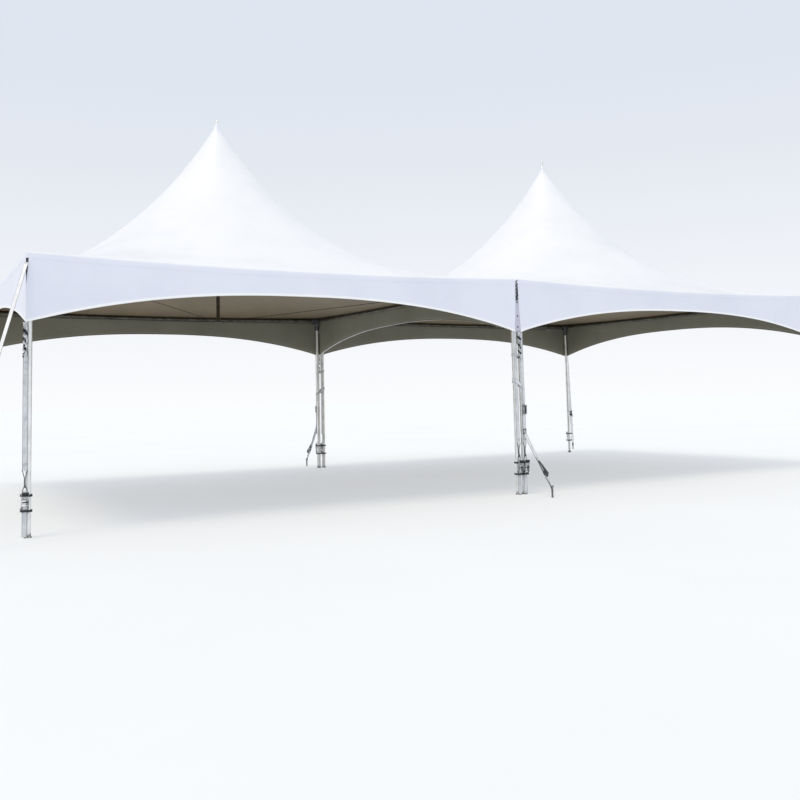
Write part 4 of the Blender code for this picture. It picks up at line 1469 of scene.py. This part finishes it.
# Corner guys
# A patch on each outer corner of the valances carries a strap that runs out to a steel stake. A
# ratchet low on the strap draws it tight, and a claw hook under the stake's head holds its end.
STAKE_TOP = 0.150
GUY_FOOT = 0.090
CORNER_GUY_TOP = 2.700
CORNER_GUY_START = 0.0574
CORNER_GUY_REACH = 1.180
CORNER_RATCHET = 0.72
PATCH_SIZE = (0.0036, 0.046, 0.036)


def stake(reach):
    """A forged stake with a mushroomed head, up from the ground."""
    driven = turned(
        (
            (0.0120, 0.0), (0.0125, 0.002), (0.0125, STAKE_TOP - 0.018), (0.0150, STAKE_TOP - 0.0165),
            (0.0205, STAKE_TOP - 0.0150), (0.0220, STAKE_TOP - 0.0110), (0.0218, STAKE_TOP - 0.0050),
            (0.0180, STAKE_TOP - 0.0010), (0.0060, STAKE_TOP),
        ), 20,
    )
    return finished(moved(driven, Matrix.Translation((reach, 0, 0))), stake_steel)


def guy(top, reach, share, roll):
    """A guy in the plane of X and Z: its two straps, and its ratchet, claw and stake.

    Its ratchet is rolled about the line by an angle in degrees, and its upper strap twists back."""
    start = Vector(top)
    end = Vector((reach, 0, GUY_FOOT))
    run = (end - start).normalized()
    out = Vector((0, 1, 0)).cross(run)
    out = out if out.z > 0 else -out
    turn = Matrix((out.cross(run) * -1, out * -1, run)).transposed().to_4x4()
    middle = start.lerp(end, share)
    at_ratchet = Matrix.Translation(middle) @ turn @ Matrix.Rotation(math.radians(roll), 4, "Z")
    head_down = at_ratchet @ Matrix.Scale(-1, 4, (0, 0, 1))
    left_over = (end - middle).length
    upper = moved(bolted_strap((middle - start).length - 0.002, -1.8 * roll), head_down)
    short = moved(wound_strap(left_over - 0.150, eye=True), head_down)
    hook = [
        (-0.0240, -0.0070, left_over - 0.150), (-0.0225, -0.0070, left_over - 0.138),
        (-0.0080, -0.0060, left_over - 0.085), (-0.0140, -0.0050, left_over - 0.040),
        (-0.0170, -0.0040, left_over - 0.010), (-0.0120, -0.0040, left_over + 0.012),
    ]
    loop = [(0.0200, -0.0070, left_over - 0.1500), (-0.0200, -0.0070, left_over - 0.1500)]
    wire = drawn(smooth_route([*both_sides(hook), *loop, hook[0]], 0.008), WIRE)
    steel = joined(
        moved(ratchet(0.0, pressed_handle()), head_down),
        moved(finished(wire, dull_zinc), at_ratchet), stake(reach),
    )
    return joined(upper, short), steel


# The corner guys' webbing is the same weave as the legs', without its painted shade: white, with grey
# selvedges.
white_strap = woven("white_woven_polyester_strap", "#F5F6F7", "#D6D8DA", "#85898E", 0.75, 0.0005, 0.003)
# Forged steel stake: galvanised once, now dull grey with brown scale in patches.
stake_steel = metal("galvanised_forged_steel", "#9A9C9D", "#6B625A", 0.55, (120, 120, 120), 55.0, 0.0010)

strap, steel = guy((CORNER_GUY_START, 0, CORNER_GUY_TOP), CORNER_GUY_REACH, CORNER_RATCHET, 0.0)
patch = block(PATCH_SIZE, (CORNER_GUY_START - 0.0016, 0, CORNER_GUY_TOP), 0.0012)
finished(patch, painted_shade_strap)
stitches = moved(tack(0, 0), Matrix.Rotation(-QUARTER, 4, "Z"))
moved(stitches, Matrix.Translation((CORNER_GUY_START + 0.0004, 0, CORNER_GUY_TOP + 0.008)))
strap = joined(strap, patch, stitches)
for number, finish in enumerate(strap.data.materials):
    if finish == painted_shade_strap:
        strap.data.materials[number] = white_strap
settle(strap, 50)
settle(steel, 35)
for bay, side in BAYS.items():
    for row, depth in (("front", -1), ("back", 1)):
        stand = Matrix.Translation((side * (BAY_CENTRE + LEG_REACH), depth * LEG_REACH, 0))
        stand = stand @ Matrix.Rotation(math.atan2(depth, side), 4, "Z")
        node = f"corner_guy_{row}_{bay}"
        dress(another(strap, stand), f"corner_guy_webbing_{row}_{bay}", "white_webbing", node)
        dress(another(steel, stand), f"corner_guy_ratchet_{row}_{bay}", "steel_cable", node)
for spare in (strap, steel):
    bpy.data.objects.remove(spare)

# Middle guys
# Front and back, a strap is wrapped aslant round the twin legs. From it a strap with a cam buckle
# drops to a link, and from there a guy with a ratchet runs out to a stake.
WRAP_HEIGHT = 1.442
WRAP_SLANT = 0.62
GUY_SIDE = 0.055
GUY_LINK_HEIGHT = 0.800
DROP_LINE = -0.0352
MIDDLE_GUY_REACH = 0.550
MIDDLE_RATCHET = 0.665
BUCKLE_TOP = 1.165
BUCKLE_LENGTH = 0.128

wrap = webbing(around_twin_legs(WRAP_HEIGHT, WRAP_SLANT, 0.0346, 0.0350), 0.046, (0, 0, 1))

drop_top = Vector((HALF_TWIN + 0.011, DROP_LINE - 0.0016, WRAP_HEIGHT - WRAP_SLANT * 0.061 + 0.018))
buckle_top = Vector((0.0587, DROP_LINE - 0.0016, BUCKLE_TOP))
upper_drop = webbing([drop_top, buckle_top + Vector((0, 0, -0.030))], 0.032)
lower_top = Vector((0.0575, DROP_LINE, BUCKLE_TOP - BUCKLE_LENGTH + 0.020))
lower_foot = [Vector((GUY_SIDE + 0.001, DROP_LINE, 0.850)), Vector((GUY_SIDE, DROP_LINE - 0.004, 0.838))]
lower_drop = webbing([lower_top, *lower_foot], 0.048)

buckle_middle = BUCKLE_TOP - BUCKLE_LENGTH / 2
frame_parts = [block((0.056, 0.0028, BUCKLE_LENGTH), (0, -0.0030, 0), 0.0010)]
for side in (-1, 1):
    frame_parts.append(plate((0.0030, 0.0240, 0.088), (side * 0.0280, -0.0140, 0.004), 0.0100))
    frame_parts.append(block((0.0140, 0.0034, BUCKLE_LENGTH - 0.010), (side * 0.0200, -0.0262, 0), 0.0012))
frame_parts.append(block((0.052, 0.0034, 0.014), (0, -0.0262, BUCKLE_LENGTH / 2 - 0.010), 0.0012))
frame_parts.append(pin(0.0310, 0.0045, -0.0150, 0.022))
for part in frame_parts:
    finished(part, zinc_plate)
cam = finished(pin(0.0250, 0.0100, -0.0150, 0.022, 20), black_enamel)
# A black plate fills the buckle's slot: painted shade for its dark opening.
slot_shade = finished(block((0.050, 0.0030, BUCKLE_LENGTH - 0.020), (0, -0.0210, 0), 0.0010), black_enamel)
buckle = joined(*frame_parts, cam, slot_shade)
tilt = math.atan2(0.006, 0.62)
moved(buckle, Matrix.Translation((0.0582, DROP_LINE, buckle_middle)) @ Matrix.Rotation(tilt, 4, "Y"))

link_parts = []
for side in (-1, 1):
    hook_route = [
        (side * 0.004, -0.006, 0.846), (side * 0.016, -0.007, 0.838), (side * 0.021, -0.009, 0.822),
        (side * 0.020, -0.010, 0.800), (side * 0.012, -0.010, 0.786), (side * 0.002, -0.009, 0.782),
    ]
    link_parts.append(drawn(smooth_route(hook_route, 0.005), WIRE * 1.1))
cross_bar = pin(0.0280, 0.0042, -0.007, 0.846)
foot_bar = pin(0.0300, 0.0042, -0.009, 0.784)
link = joined(*link_parts, cross_bar, foot_bar)
finished(moved(link, Matrix.Translation((GUY_SIDE, DROP_LINE + 0.003, 0))), dull_zinc)

strap, steel = guy((-DROP_LINE + 0.005, 0, GUY_LINK_HEIGHT - 0.012), MIDDLE_GUY_REACH, MIDDLE_RATCHET, -27.0)
outwards = Matrix.Translation((GUY_SIDE, 0, 0)) @ Matrix.Rotation(-QUARTER, 4, "Z")
strap = joined(moved(strap, outwards), wrap, upper_drop, lower_drop)
steel = joined(moved(steel, outwards), buckle, link)
settle(strap, 50)
settle(steel, 35)
for row, turns in ROWS.items():
    node = f"middle_guy_{row}"
    dress(another(strap, at_twin_legs(turns)), f"middle_guy_webbing_{row}", "white_webbing", node)
    dress(another(steel, at_twin_legs(turns)), f"middle_guy_ratchet_{row}", "steel_cable", node)
for spare in (strap, steel):
    bpy.data.objects.remove(spare)
